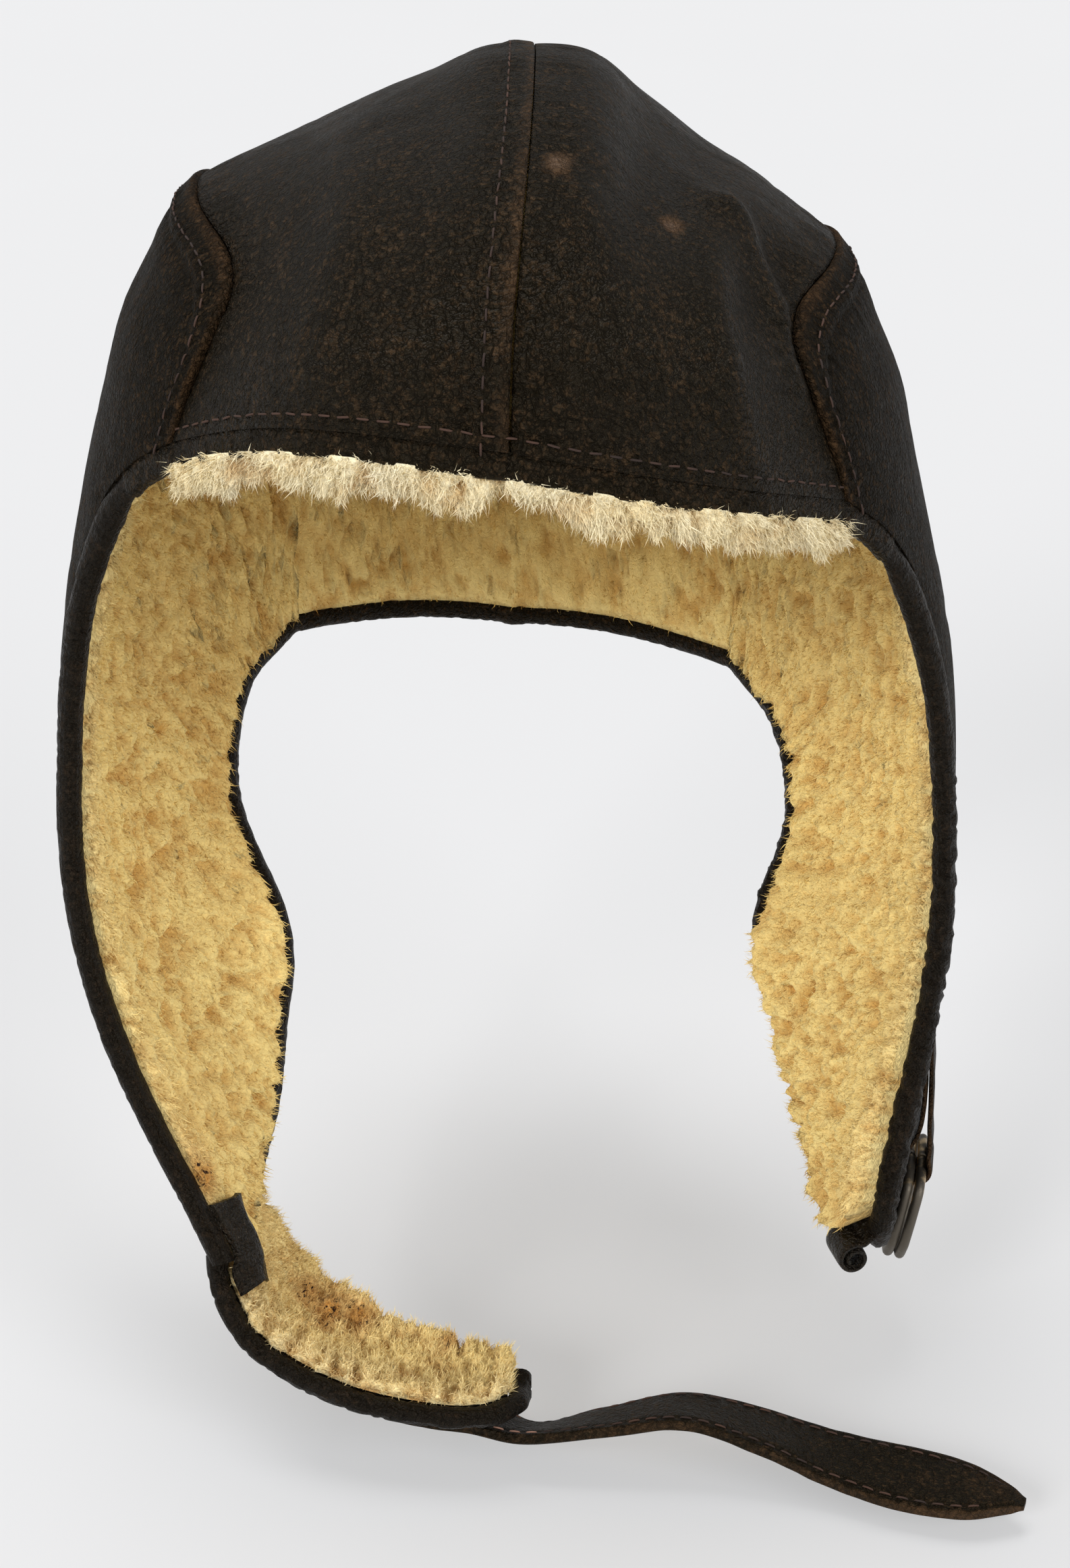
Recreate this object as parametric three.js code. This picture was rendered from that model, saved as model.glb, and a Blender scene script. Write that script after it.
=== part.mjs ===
// A fleece-lined leather flying helmet, held up by the top of its crown.
// Millimetres, +Z up, the face opening towards -Y. The origin is the seat: the lining's
// highest point inside, where a head holds it. "Left" and "right" are as seen from the front.
import * as THREE from "three";

// Driving sizes
const halfWidth = 112; // from the middle to the widest part of an ear panel
const halfDepth = 105; // from the middle of the head to the brow
const skullHeight = 178; // from the top of the crown down to the nape
const flapLength = 114; // from the nape down to the tip of a flap
const leather = 2; // one layer of hide
const foldedEdge = 1.6; // how far a lapped seam stands proud
const foldWidth = 6; // width of that fold
const clearance = 0.35; // between pieces that lie on each other
const pileClearance = 0.6; // between a panel and the fleece behind it
const rimClearance = 0.6; // between a panel's edge and the rim round it
const pileMargin = 1.4; // from the fleece's edge to the panel's
const pileDepth = 7; // skin and pile, between the locks
const lockDepth = 2.6; // how far a lock stands out
const lockSize = 24; // from one lock to the next
const browLift = 5; // how far the left half of the brow edge arches up
const browOverhang = 4; // pile showing below the brow hem
const hemWidth = 6.5;
const hemThickness = 4;
const rimWidth = 8.6; // padded rim of the flaps
const rimThickness = 6.6;
const leanSlope = 0.09; // the helmet sits a little down on its right side
const pullAhead = 20; // how far the band under the chin draws the left flap ahead
const pullDown = 15;
const pullAside = 20;
const chinLength = 84; // the lined band sewn to the left flap
const chinWidth = 33;
const chinSkew = 0.2; // the band's rear edge lies this share further right than its front edge
const chinPile = 5;
const chinRim = 5.5; // thickness of the band's rolled rim
const strapLength = 143; // the strap beyond the band
const strapWidth = 22;
const strapThickness = 3.4; // two layers, stitched
const tabWidth = 14; // the leather loop that carries the rings
const tabLength = 39;
const tabLayer = 1.5;
const tabPlace = -0.432; // where the loop is sewn: share of halfDepth, and level
const tabLevel = 1.48;
const tabStandOff = 1.2; // how far the loop's lower end is pushed out by the rim
const tabSlant = 0.03; // how much the loop hangs inwards, as a share of its length
const ringWire = 2.8;
const ringInside = 25; // inner width of a ring
const ringLength = 30; // a ring from end to end
const buckleTurn = -0.167; // radians that the buckle's loop is turned about the vertical
const ringTilt = 0.17; // radians that the rings hang inwards
const curlRadius = 5.2; // the rolled leather tab inside the right flap's tip
const curlWidth = 11;
const curlDrop = 8.2; // how far below the flap's edge it sits
const curlPress = 1.4; // how much closer to the rim than its radius alone would put it
const curlSteps = 10;
const patchThickness = 1.3;

const crownTop = leather + pileClearance + pileDepth + lockDepth;
const napeHeight = crownTop - skullHeight;
const coreTop = crownTop - 0.49 * skullHeight; // height of the widest part of the head
const coreEase = 20;
const browReach = 0.16; // share of the crown that the arch of the brow edge reaches up
const rows = 20; // steps along each seam
const PANEL_COLUMNS = [0.1, 0.18, 0.28, 0.39, 0.5, 0.61, 0.72, 0.82, 0.92, 1];
const seamFade = 2.6; // how fast the seam's pull on an ear panel fades below it
const cornerColumn = 3; // the column at the brow corner and at the nape corner

// The side of the head at each level: 0 at the crown's top, 1 at the nape, 2 at the tip of a flap.
// Widths are shares of halfWidth, the others shares of halfDepth.
const SIDE = [
  { level: 0.1, width: 0.6, centre: 0.12, front: 0.6, rear: 0.62 },
  { level: 0.225, width: 0.715, centre: 0.12, front: 0.75, rear: 0.75 },
  { level: 0.27, width: 0.775, centre: 0.1, front: 0.84, rear: 0.8 },
  { level: 0.32, width: 0.812, centre: 0.09, front: 0.97, rear: 0.86 },
  { level: 0.39, width: 0.865, centre: 0.05, front: 0.96, rear: 0.9 },
  { level: 0.506, width: 0.917, centre: 0.02, front: 0.94, rear: 0.93 },
  { level: 0.63, width: 0.965, centre: 0, front: 0.95, rear: 0.97 },
  { level: 0.787, width: 1.015, centre: -0.05, front: 1, rear: 1 },
  { level: 1, width: 1.03, centre: -0.15, front: 1.1, rear: 1.07 },
  { level: 1.25, width: 1.012, centre: -0.3, front: 1.1, rear: 0.98 },
  { level: 1.5, width: 0.962, centre: -0.45, front: 1.1, rear: 0.8 },
  { level: 1.75, width: 0.89, centre: -0.55, front: 1.1, rear: 0.95 },
  { level: 2, width: 0.82, centre: -0.6, front: 1.1, rear: 1.1 },
];

// The middle seam (ridge) and the seam between crown and ear panel, from brow to nape.
// Places back and bulge are shares of halfDepth.
const CROWN = [
  { along: 0, ridgeBack: -1, ridgeLevel: 0.365, seamBack: -0.571, seamLevel: 0.472, bulge: 0.13 },
  { along: 0.12, ridgeBack: -0.955, ridgeLevel: 0.235, seamBack: -0.565, seamLevel: 0.33, bulge: 0.105 },
  { along: 0.24, ridgeBack: -0.79, ridgeLevel: 0.115, seamBack: -0.4, seamLevel: 0.255, bulge: 0.07 },
  { along: 0.38, ridgeBack: -0.42, ridgeLevel: 0.03, seamBack: -0.1, seamLevel: 0.225, bulge: 0.035 },
  { along: 0.52, ridgeBack: 0.06, ridgeLevel: 0, seamBack: 0.2, seamLevel: 0.222, bulge: 0.03 },
  { along: 0.66, ridgeBack: 0.5, ridgeLevel: 0.06, seamBack: 0.46, seamLevel: 0.27, bulge: 0.06 },
  { along: 0.79, ridgeBack: 0.84, ridgeLevel: 0.26, seamBack: 0.67, seamLevel: 0.43, bulge: 0.11 },
  { along: 0.9, ridgeBack: 0.99, ridgeLevel: 0.6, seamBack: 0.77, seamLevel: 0.7, bulge: 0.1 },
  { along: 1, ridgeBack: 0.93, ridgeLevel: 1, seamBack: 0.73, seamLevel: 1, bulge: 0.08 },
];

// The edges of an ear panel below its seam: the face edge with the brow corner, the rear edge with
// the nape corner, and the flap's end between them
const LEFT = -1;
const RIGHT = 1;
const FACE = [
  { down: 0, back: CROWN[0].seamBack, level: CROWN[0].seamLevel },
  { down: 0.09, back: -0.44, level: 0.54 },
  { down: 0.17, back: -0.345, level: 0.63 },
  { down: 0.27, back: -0.325, level: 0.77 },
  { down: 0.37, back: -0.342, level: 0.93 },
  { down: 0.49, back: -0.385, level: 1.12 },
  { down: 0.61, back: -0.44, level: 1.32 },
  { down: 0.74, back: -0.505, level: 1.52 },
  { down: 0.88, back: -0.59, level: 1.72 },
];
const REAR = [
  { down: 0, back: CROWN[CROWN.length - 1].seamBack, level: 1 },
  { down: 0.09, back: 0.64, level: 1.05 },
  { down: 0.22, back: 0.52, level: 1.11 },
  { down: 0.37, back: 0.36, level: 1.24 },
  { down: 0.54, back: 0.19, level: 1.41 },
  { down: 0.72, back: 0.06, level: 1.6 },
  { down: 0.87, back: -0.1, level: 1.76 },
];
const END = {
  [LEFT]: [
    { across: 0, back: -0.66, level: 1.87 },
    { across: 0.5, back: -0.52, level: 1.885 },
    { across: 1, back: -0.36, level: 1.86 },
  ],
  [RIGHT]: [
    { across: 0, back: -0.635, level: 1.84 },
    { across: 0.3, back: -0.58, level: 1.915 },
    { across: 0.62, back: -0.47, level: 1.915 },
    { across: 1, back: -0.29, level: 1.84 },
  ],
};
const FLAP = Object.fromEntries([LEFT, RIGHT].map((side) => {
  const end = END[side];
  return [side, { face: [...FACE, { ...end[0], down: 1 }], rear: [...REAR, { ...end[end.length - 1], down: 1 }], end }];
}));

// Folds and hollows of the crown. Places are shares of a panel, heights shares of leather.
const FOLDS = [
  { side: 1, along: 0.2, across: 0.62, length: 0.2, width: 0.1, height: 1.6 },
  { side: 1, along: 0.34, across: 0.38, length: 0.14, width: 0.16, height: -1.6 },
  { side: -1, along: 0.26, across: 0.5, length: 0.22, width: 0.12, height: 1 },
  { side: -1, along: 0.5, across: 0.6, length: 0.1, width: 0.2, height: -0.9 },
];

// How far the helmet leans aside at each level, in shares of halfWidth
const LEAN = [
  { level: 0, aside: 0 },
  { level: 0.225, aside: -0.04 },
  { level: 0.46, aside: -0.05 },
  { level: 0.787, aside: -0.055 },
  { level: 1.5, aside: -0.055 },
  { level: 2, aside: -0.02 },
];

// The lined band under the chin, from the left flap on. Places are shares of chinLength from the
// flap's tip, width a share of chinWidth, tilt in radians up at the back.
const CHIN = [
  { along: 0, right: 0, ahead: 0, down: 0, width: 1, tilt: 0 },
  { along: 0.12, right: 0.035, ahead: 0.055, down: 0.1, width: 1, tilt: 0 },
  { along: 0.3, right: 0.155, ahead: 0.14, down: 0.215, width: 0.98, tilt: -0.03 },
  { along: 0.55, right: 0.4, ahead: 0.24, down: 0.305, width: 0.95, tilt: -0.1 },
  { along: 0.8, right: 0.67, ahead: 0.29, down: 0.345, width: 0.9, tilt: -0.16 },
  { along: 0.93, right: 0.81, ahead: 0.3, down: 0.35, width: 0.78, tilt: -0.16 },
  { along: 1, right: 0.88, ahead: 0.3, down: 0.35, width: 0.45, tilt: -0.16 },
];

// The strap beyond the band, in shares of strapLength from where it leaves the band
const STRAP = [
  { along: 0.12, right: 0.1, ahead: 0.04, up: -0.02, width: 0.95, tilt: -0.5 },
  { along: 0.27, right: 0.235, ahead: 0.05, up: 0.01, width: 0.95, tilt: -0.4 },
  { along: 0.41, right: 0.38, ahead: 0.055, up: 0.04, width: 0.97, tilt: -0.3 },
  { along: 0.55, right: 0.51, ahead: 0.075, up: 0.015, width: 0.97, tilt: -0.2 },
  { along: 0.67, right: 0.64, ahead: 0.11, up: -0.02, width: 0.97, tilt: -0.06 },
  { along: 0.8, right: 0.76, ahead: 0.15, up: -0.03, width: 1.06, tilt: 0 },
  { along: 0.92, right: 0.875, ahead: 0.19, up: -0.03, width: 0.86, tilt: 0 },
  { along: 1, right: 0.96, ahead: 0.22, up: -0.03, width: 0.16, tilt: 0 },
];

// A cubic curve through the rows of a table, read at a value of its key column
function read(table, key, column, at) {
  const last = table.length - 1;
  const slope = (row) => {
    const before = table[Math.max(row - 1, 0)];
    const after = table[Math.min(row + 1, last)];
    return (after[column] - before[column]) / (after[key] - before[key]);
  };
  if (at <= table[0][key]) return table[0][column] + slope(0) * (at - table[0][key]);
  if (at >= table[last][key]) return table[last][column] + slope(last) * (at - table[last][key]);
  const row = table.findIndex((entry) => entry[key] > at) - 1;
  const span = table[row + 1][key] - table[row][key];
  const u = (at - table[row][key]) / span;
  const [u2, u3] = [u * u, u * u * u];
  return (2 * u3 - 3 * u2 + 1) * table[row][column]
    + (u3 - 2 * u2 + u) * span * slope(row)
    + (3 * u2 - 2 * u3) * table[row + 1][column]
    + (u3 - u2) * span * slope(row + 1);
}

const ease = (share) => {
  const u = Math.min(Math.max(share, 0), 1);
  return u * u * (3 - 2 * u);
};
const mix = (from, to, share) => from.clone().lerp(to, share);
const moved = (point, direction, distance) => point.clone().addScaledVector(direction, distance);

function heightOf(level) {
  return level < 1 ? crownTop - level * skullHeight : napeHeight - (level - 1) * flapLength;
}

function levelOf(height) {
  return height > napeHeight ? (crownTop - height) / skullHeight : 1 + (napeHeight - height) / flapLength;
}

// Outer surface

function sidePoint(side, back, level) {
  const centre = read(SIDE, "level", "centre", level);
  const reach = read(SIDE, "level", back < centre ? "front" : "rear", level);
  const across = Math.sqrt(Math.max(1 - ((back - centre) / reach) ** 2, 0));
  const width = halfWidth * read(SIDE, "level", "width", level);
  return new THREE.Vector3(side * width * across, back * halfDepth, heightOf(level));
}

// The way into the helmet from a point of its wall, towards the middle of the head
function inward(point) {
  const above = point.z - coreTop;
  const height = coreTop + (above - Math.hypot(above, coreEase)) / 2;
  const centre = read(SIDE, "level", "centre", levelOf(height)) * halfDepth;
  return new THREE.Vector3(0, centre, height).sub(point).normalize();
}

function foldHeight(side, along, across) {
  return FOLDS.filter((fold) => fold.side === side).reduce((sum, fold) => {
    const far = ((along - fold.along) / fold.length) ** 2 + ((across - fold.across) / fold.width) ** 2;
    return sum + leather * fold.height * Math.exp(-far);
  }, 0);
}

function crownPoint(side, along, across) {
  const of = (column) => read(CROWN, "along", column, along);
  const ridge = new THREE.Vector3(0, of("ridgeBack") * halfDepth, heightOf(of("ridgeLevel")));
  const seam = sidePoint(side, of("seamBack"), of("seamLevel"));
  const point = mix(ridge, seam, across);
  const chord = seam.clone().sub(ridge).normalize();
  const out = inward(point).negate();
  out.addScaledVector(chord, -out.dot(chord)).normalize();
  const share = Math.min(Math.max(across, 0), 1);
  const bulge = of("bulge") * halfDepth * Math.sin(Math.PI * share ** 0.85);
  if (side === LEFT) point.z += browLift * Math.sin(Math.PI * share) * (1 - ease(along / browReach));
  return moved(point, out, bulge + foldHeight(side, along, across));
}

// A point of an ear panel, from its seam (down 0) to the flap's end (down 1): the four edges are
// blended in the side view, and the point is then set out on the side of the head. The seam's
// pull fades fast, so that the rows leave the hollow face edge backwards.
function panelPoint(side, along, down) {
  const { face, rear, end } = FLAP[side];
  const pull = Math.max(1 - down, 0) ** seamFade;
  const blended = (column, seamColumn) => {
    const seam = (at) => read(CROWN, "along", seamColumn, at);
    const tip = (at) => read(end, "across", column, at);
    const corners = (at) => pull * seam(at) + (1 - pull) * tip(at);
    return corners(along)
      + (1 - along) * (read(face, "down", column, down) - corners(0))
      + along * (read(rear, "down", column, down) - corners(1));
  };
  return sidePoint(side, blended("back", "seamBack"), blended("level", "seamLevel"));
}

// The helmet sits a little aside and down on its right. Every point of it goes through here.
// The band under the chin draws the left flap ahead, down and towards the chin.
function lean(point) {
  const level = levelOf(point.z);
  const aside = read(LEAN, "level", "aside", level) * halfWidth;
  const pull = point.x < 0 ? ease(level - 1) : 0;
  return new THREE.Vector3(
    point.x + aside + pull * pull * pullAside,
    point.y - pull * pullAhead,
    point.z - leanSlope * point.x - pull * pullDown,
  );
}

// Solids

function facesOutwards(positions, index) {
  let volume = 0;
  const corner = (i) => new THREE.Vector3().fromArray(positions, 3 * index[i]);
  for (let i = 0; i < index.length; i += 3) volume += corner(i).dot(corner(i + 1).cross(corner(i + 2)));
  return volume > 0;
}

function solidOf(positions, index) {
  const turned = facesOutwards(positions, index) ? index : index.slice().reverse();
  const geometry = new THREE.BufferGeometry();
  geometry.setAttribute("position", new THREE.Float32BufferAttribute(positions, 3));
  geometry.setIndex(turned);
  geometry.computeVertexNormals();
  return geometry;
}

// A closed wall between two grids of points of the same size
function wall(outer, inner) {
  const count = [outer.length, outer[0].length];
  const positions = [outer, inner].flat(2).flatMap((point) => point.toArray());
  const at = (face, i, j) => (face * count[0] + i) * count[1] + j;
  const index = [];
  const quad = (a, b, c, d) => index.push(a, b, c, a, c, d);
  for (let i = 0; i + 1 < count[0]; i += 1) {
    for (let j = 0; j + 1 < count[1]; j += 1) {
      quad(at(0, i, j), at(0, i + 1, j), at(0, i + 1, j + 1), at(0, i, j + 1));
      quad(at(1, i, j), at(1, i, j + 1), at(1, i + 1, j + 1), at(1, i + 1, j));
    }
    const end = count[1] - 1;
    quad(at(0, i, 0), at(1, i, 0), at(1, i + 1, 0), at(0, i + 1, 0));
    quad(at(0, i, end), at(0, i + 1, end), at(1, i + 1, end), at(1, i, end));
  }
  for (let j = 0; j + 1 < count[1]; j += 1) {
    const end = count[0] - 1;
    quad(at(0, 0, j), at(0, 0, j + 1), at(1, 0, j + 1), at(1, 0, j));
    quad(at(0, end, j), at(1, end, j), at(1, end, j + 1), at(0, end, j + 1));
  }
  return solidOf(positions, index);
}

// A closed bar through rings of points, each ring convex
function bar(rings) {
  const sides = rings[0].length;
  const positions = rings.flat().flatMap((point) => point.toArray());
  const index = [];
  for (let i = 0; i + 1 < rings.length; i += 1) {
    for (let j = 0; j < sides; j += 1) {
      const [a, b] = [i * sides + j, i * sides + ((j + 1) % sides)];
      index.push(a, b, b + sides, a, b + sides, a + sides);
    }
  }
  const end = (rings.length - 1) * sides;
  for (let j = 1; j + 1 < sides; j += 1) {
    index.push(0, j + 1, j, end, end + j, end + j + 1);
  }
  return solidOf(positions, index);
}

// An oval of points about a centre, in the plane of two directions
function oval(centre, across, up, width, thickness, sides = 8) {
  return Array.from({ length: sides }, (_, i) => {
    const turn = (2 * Math.PI * (i + 0.5)) / sides;
    const point = moved(centre, across, (width / 2) * Math.cos(turn));
    return point.addScaledVector(up, (thickness / 2) * Math.sin(turn));
  });
}

// Panels

const alongSteps = Array.from({ length: rows + 1 }, (_, i) => i / rows);

// Columns of a crown panel from the middle seam to the side seam, as shares of its width.
// They stop short of both seams by half a clearance.
function crownColumns(along) {
  const width = crownPoint(RIGHT, along, 1).distanceTo(crownPoint(RIGHT, along, 0));
  const edge = clearance / 2 / width;
  const fold = foldWidth / width;
  return [edge, fold, 1.4 * fold, 0.3, 0.5, 0.7, 0.86, 1 - edge];
}

// Columns of an ear panel from the side seam down to the flap's end
function panelColumns(side, along) {
  const pace = panelPoint(side, along, PANEL_COLUMNS[0]).distanceTo(panelPoint(side, along, 0)) / PANEL_COLUMNS[0];
  const edge = clearance / 2 / pace;
  const fold = foldWidth / pace;
  return [edge, fold, 1.4 * fold, ...PANEL_COLUMNS];
}

function crownPanel(side) {
  const lap = side === LEFT ? foldedEdge : 0; // the left panel laps over the right one
  const grid = (depth, lift) => alongSteps.map((along) => crownColumns(along).map((across, column) => {
    const point = crownPoint(side, along, across);
    return lean(moved(point, inward(point), depth - (column < 2 ? lift : 0)));
  }));
  return wall(grid(0, lap), grid(leather, 0));
}

function sidePanel(side) {
  const grid = (depth, lift) => alongSteps.map((along) => panelColumns(side, along).map((across, column) => {
    const point = panelPoint(side, along, across);
    return lean(moved(point, inward(point), depth - (column < 2 ? lift : 0)));
  }));
  return wall(grid(0, foldedEdge), grid(leather, 0));
}

// Locks of the fleece: how far it stands out at a point of its backing
function lock(point) {
  const [a, b] = [point.y / lockSize, point.z / lockSize];
  return (lockDepth / 2) * (1 + 0.8 * Math.sin(6.3 * a + 1.7 * Math.sin(5 * b)) * Math.sin(6.3 * b + 1.1 * point.x / lockSize));
}

function crownFleece(side) {
  const back = leather + pileClearance;
  const behindHem = hemThickness + 3 * clearance;
  const overhang = (browOverhang + hemWidth) / (1.9 * halfDepth * 0.5);
  const steps = [-overhang, -overhang / 2, ...alongSteps.map((along) => Math.max(along, 0.004))];
  const grid = (pile) => steps.map((along) => crownColumns(Math.max(along, 0)).map((across) => {
    const point = crownPoint(side, Math.max(along, 0), across);
    if (along < 0) {
      const brow = crownPoint(side, 0, across);
      const down = brow.clone().sub(crownPoint(side, 0.03, across)).normalize();
      point.addScaledVector(down, (along / -overhang) * (browOverhang + hemWidth));
    }
    const depth = Math.max(back, along < 0.02 ? behindHem : 0) + (pile ? pileDepth + lock(point) : 0);
    return lean(moved(point, inward(point), depth));
  }));
  return wall(grid(false), grid(true));
}

function sideFleece(side) {
  const back = leather + pileClearance;
  const grid = (pile) => alongSteps.map((along) => {
    const length = panelPoint(side, along, 1).distanceTo(panelPoint(side, along, 0));
    return panelColumns(side, along).map((across, column, columns) => {
      const atEdge = column === columns.length - 1;
      const point = panelPoint(side, along, across - (atEdge ? pileMargin / length : 0));
      const depth = back + (pile ? pileDepth + lock(point) : 0) + (atEdge ? pileClearance : 0);
      return lean(moved(point, inward(point), depth));
    });
  });
  return wall(grid(false), grid(true));
}

// Rims

// The whole lower rim of one side: brow edge, brow corner, flap, nape. Each stop holds its point,
// its way along, its way out of the panel and its way off the wall.
function rimOf(side) {
  const brow = crownColumns(0).map((across) => crownPoint(side, 0, across));
  const face = panelColumns(side, 0).map((down) => panelPoint(side, 0, down));
  const end = alongSteps.slice(1).map((along) => panelPoint(side, along, 1));
  const rear = panelColumns(side, 1).map((down) => panelPoint(side, 1, down)).reverse().slice(1);
  const nape = crownColumns(1).map((across) => crownPoint(side, 1, across)).reverse();
  const points = [...brow, ...face, ...end, ...rear, ...nape];
  return points.map((point, i) => {
    const before = points[Math.max(i - 1, 0)];
    const after = points[Math.min(i + 1, points.length - 1)];
    const along = after.clone().sub(before).normalize();
    const off = inward(point).negate();
    const out = along.clone().cross(off).multiplyScalar(side).normalize();
    return { point, along, out, off: out.clone().cross(along).multiplyScalar(side).normalize() };
  });
}

const rims = { [LEFT]: rimOf(LEFT), [RIGHT]: rimOf(RIGHT) };
const crownCount = crownColumns(0).length;
const panelCount = panelColumns(LEFT, 0).length;
const cornerStop = crownCount + cornerColumn;
const endStop = crownCount + panelCount - 1; // where the face edge meets the flap's end
const napeStop = endStop + rows + panelCount - 1 - cornerColumn;

// The rim between two stops, ended a little short of its neighbours
function rimBar(side, from, to, width, thickness, sink, shorten = true) {
  const stops = rims[side].slice(from, to + 1);
  const rings = stops.map((stop, i) => {
    const end = i === 0 ? 1 : i === stops.length - 1 ? -1 : 0;
    const start = moved(stop.point, stop.along, shorten ? end * clearance : 0);
    const centre = moved(start, stop.out, rimClearance + width / 2).addScaledVector(stop.off, -sink);
    return oval(centre, stop.out, stop.off, width, thickness).map(lean);
  });
  return rings;
}

const browHem = (side) => bar(rimBar(side, 0, cornerStop, hemWidth, hemThickness, leather));
const rim = (side, from, to) => bar(rimBar(side, from, to, rimWidth, rimThickness, leather));

function neckBinding() {
  const end = rims[LEFT].length - 1;
  const half = (side) => rimBar(side, napeStop, end, hemWidth, hemThickness, leather, false);
  const [left, right] = [half(LEFT), half(RIGHT)];
  const trimmed = (rings, side) => {
    const step = rims[side][napeStop].along;
    return [rings[0].map((point) => moved(point, step, clearance)), ...rings.slice(1)];
  };
  return bar([...trimmed(left, LEFT), ...trimmed(right, RIGHT).reverse().slice(1)]);
}

// The band under the chin

const chinStops = rims[LEFT].slice(endStop, endStop + rows + 1).filter((_, i) => i % 4 === 0);
const chinColumns = chinStops.map((_, i) => i / (chinStops.length - 1));
const chinStart = lean(moved(chinStops[0].point, chinStops[0].out, clearance));
const rimStart = 0.1; // share of the band where its own rim begins
const chinSteps = [0, rimStart, 0.2, 0.3, 0.42, 0.54, 0.66, 0.78, 0.88, 0.95, 1];

// Front edge, way back across the band and way up off its lined face, at a share along it
function chinFrame(along) {
  const of = (column) => read(CHIN, "along", column, along);
  const place = (share) => new THREE.Vector3(
    read(CHIN, "along", "right", share), -read(CHIN, "along", "ahead", share), -read(CHIN, "along", "down", share),
  ).multiplyScalar(chinLength);
  const way = place(along + 0.02).sub(place(along - 0.02)).normalize();
  const across = new THREE.Vector3(chinSkew, 1, 0);
  across.addScaledVector(way, -across.dot(way)).normalize().applyAxisAngle(way, of("tilt"));
  const narrow = ((1 - of("width")) * chinWidth) / 2;
  const front = moved(chinStart.clone().add(place(along)), across, narrow);
  return { front, across, way, up: way.clone().cross(across).normalize(), width: of("width") * chinWidth };
}

// A point of the band: it starts on the flap's lower edge and turns into the free band
function chinPoint(along, across, height) {
  const { front, across: back, up, width } = chinFrame(along);
  const hollow = -0.1 * width * Math.sin(Math.PI * across);
  const free = moved(front, back, width * across).addScaledVector(up, height + hollow);
  const share = ease(along / 0.3);
  if (share === 1) return free;
  const stop = chinStops[Math.round(across * (chinStops.length - 1))];
  const start = moved(stop.point, stop.out, 1.6 * clearance);
  const sewn = lean(moved(start, inward(stop.point), leather + height));
  return mix(sewn, free, share);
}

function chinWall(bottom, top) {
  const grid = (heightAt) => chinSteps.map((along) => chinColumns.map((across) => (
    chinPoint(along, across, heightAt(chinPoint(along, across, 0)))
  )));
  return wall(grid(bottom), grid(top));
}

const chinPiece = () => chinWall(() => -leather, () => 0);
const chinFleece = () => chinWall(() => pileClearance, (point) => pileClearance + chinPile + lock(point));

function chinBinding() {
  const steps = chinSteps.filter((along) => along >= rimStart);
  const front = steps.map((along) => ({ along, across: 0 }));
  const end = chinColumns.slice(1, -1).map((across) => ({ along: 1, across }));
  const path = [...front, ...end].map(({ along, across }) => chinPoint(along, across, -leather / 2));
  const rings = path.map((point, i) => {
    const way = path[Math.min(i + 1, path.length - 1)].clone().sub(path[Math.max(i - 1, 0)]).normalize();
    const { up } = chinFrame(i < front.length ? steps[i] : 1);
    const out = way.clone().cross(up).normalize();
    const centre = moved(point, out, clearance + 0.5 * chinRim + 0.3);
    return oval(centre, out, out.clone().cross(way).normalize(), chinRim, chinRim);
  });
  return bar(rings);
}

// The strap lies under the band, then runs on by itself to its pointed end
const strapSewn = [0.34, 0.45, 0.56, 0.67, 0.78, 0.88];
const strapLeaves = 0.88;

function strapStops() {
  const under = leather + 0.1 * chinWidth + clearance + strapThickness / 2 + 0.4;
  const sewn = strapSewn.map((along) => {
    const { front, across, up, way, width } = chinFrame(along);
    const centre = moved(front, across, width / 2 - 1).addScaledVector(up, -under);
    return { centre, across, up, way, width: 0.95 * strapWidth };
  });
  const start = sewn[sewn.length - 1].centre;
  const places = STRAP.map((row) => start.clone().add(
    new THREE.Vector3(row.right, -row.ahead, row.up).multiplyScalar(strapLength),
  ));
  const all = [...sewn.map((stop) => stop.centre), ...places];
  const free = STRAP.map((row, i) => {
    const k = sewn.length + i;
    const way = all[Math.min(k + 1, all.length - 1)].clone().sub(all[k - 1]).normalize();
    const level = new THREE.Vector3(-way.y, way.x, 0).normalize();
    const across = level.multiplyScalar(Math.cos(row.tilt)).add(new THREE.Vector3(0, 0, Math.sin(row.tilt)));
    across.addScaledVector(way, -across.dot(way)).normalize();
    return { centre: all[k], across, up: way.clone().cross(across).normalize(), way, width: row.width * strapWidth };
  });
  return [...sewn, ...free];
}

function chinStrap() {
  const stops = strapStops();
  const curve = (pick) => new THREE.CatmullRomCurve3(stops.map(pick), false, "centripetal");
  const front = curve((stop) => moved(stop.centre, stop.across, -stop.width / 2));
  const back = curve((stop) => moved(stop.centre, stop.across, stop.width / 2));
  const steps = 30;
  const rings = Array.from({ length: steps + 1 }, (_, i) => {
    const share = i / steps;
    const [a, b] = [front.getPoint(share), back.getPoint(share)];
    const centre = mix(a, b, 0.5);
    const way = front.getTangent(share).add(back.getTangent(share)).normalize();
    const across = b.clone().sub(a);
    const width = across.length();
    across.normalize();
    return oval(centre, across, way.cross(across).normalize(), width, strapThickness, 6);
  });
  return bar(rings);
}

// The patch covers the joint of flap and band: it lies on their rims and climbs onto the fleece
const patchLift = 3 * clearance;
const patchTop = pileClearance + pileDepth + lockDepth + patchLift;
const PATCH = [
  { inside: -0.5 * rimWidth, height: rimThickness / 2 + patchLift },
  { inside: pileMargin / 2, height: patchTop },
  { inside: 0.11 * chinWidth, height: patchTop },
  { inside: 0.22 * chinWidth, height: patchTop },
];
const patchOnFlap = [0.92, 0.95, 0.98];
const patchOnBand = [0.05, 0.12, 0.19];

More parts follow.
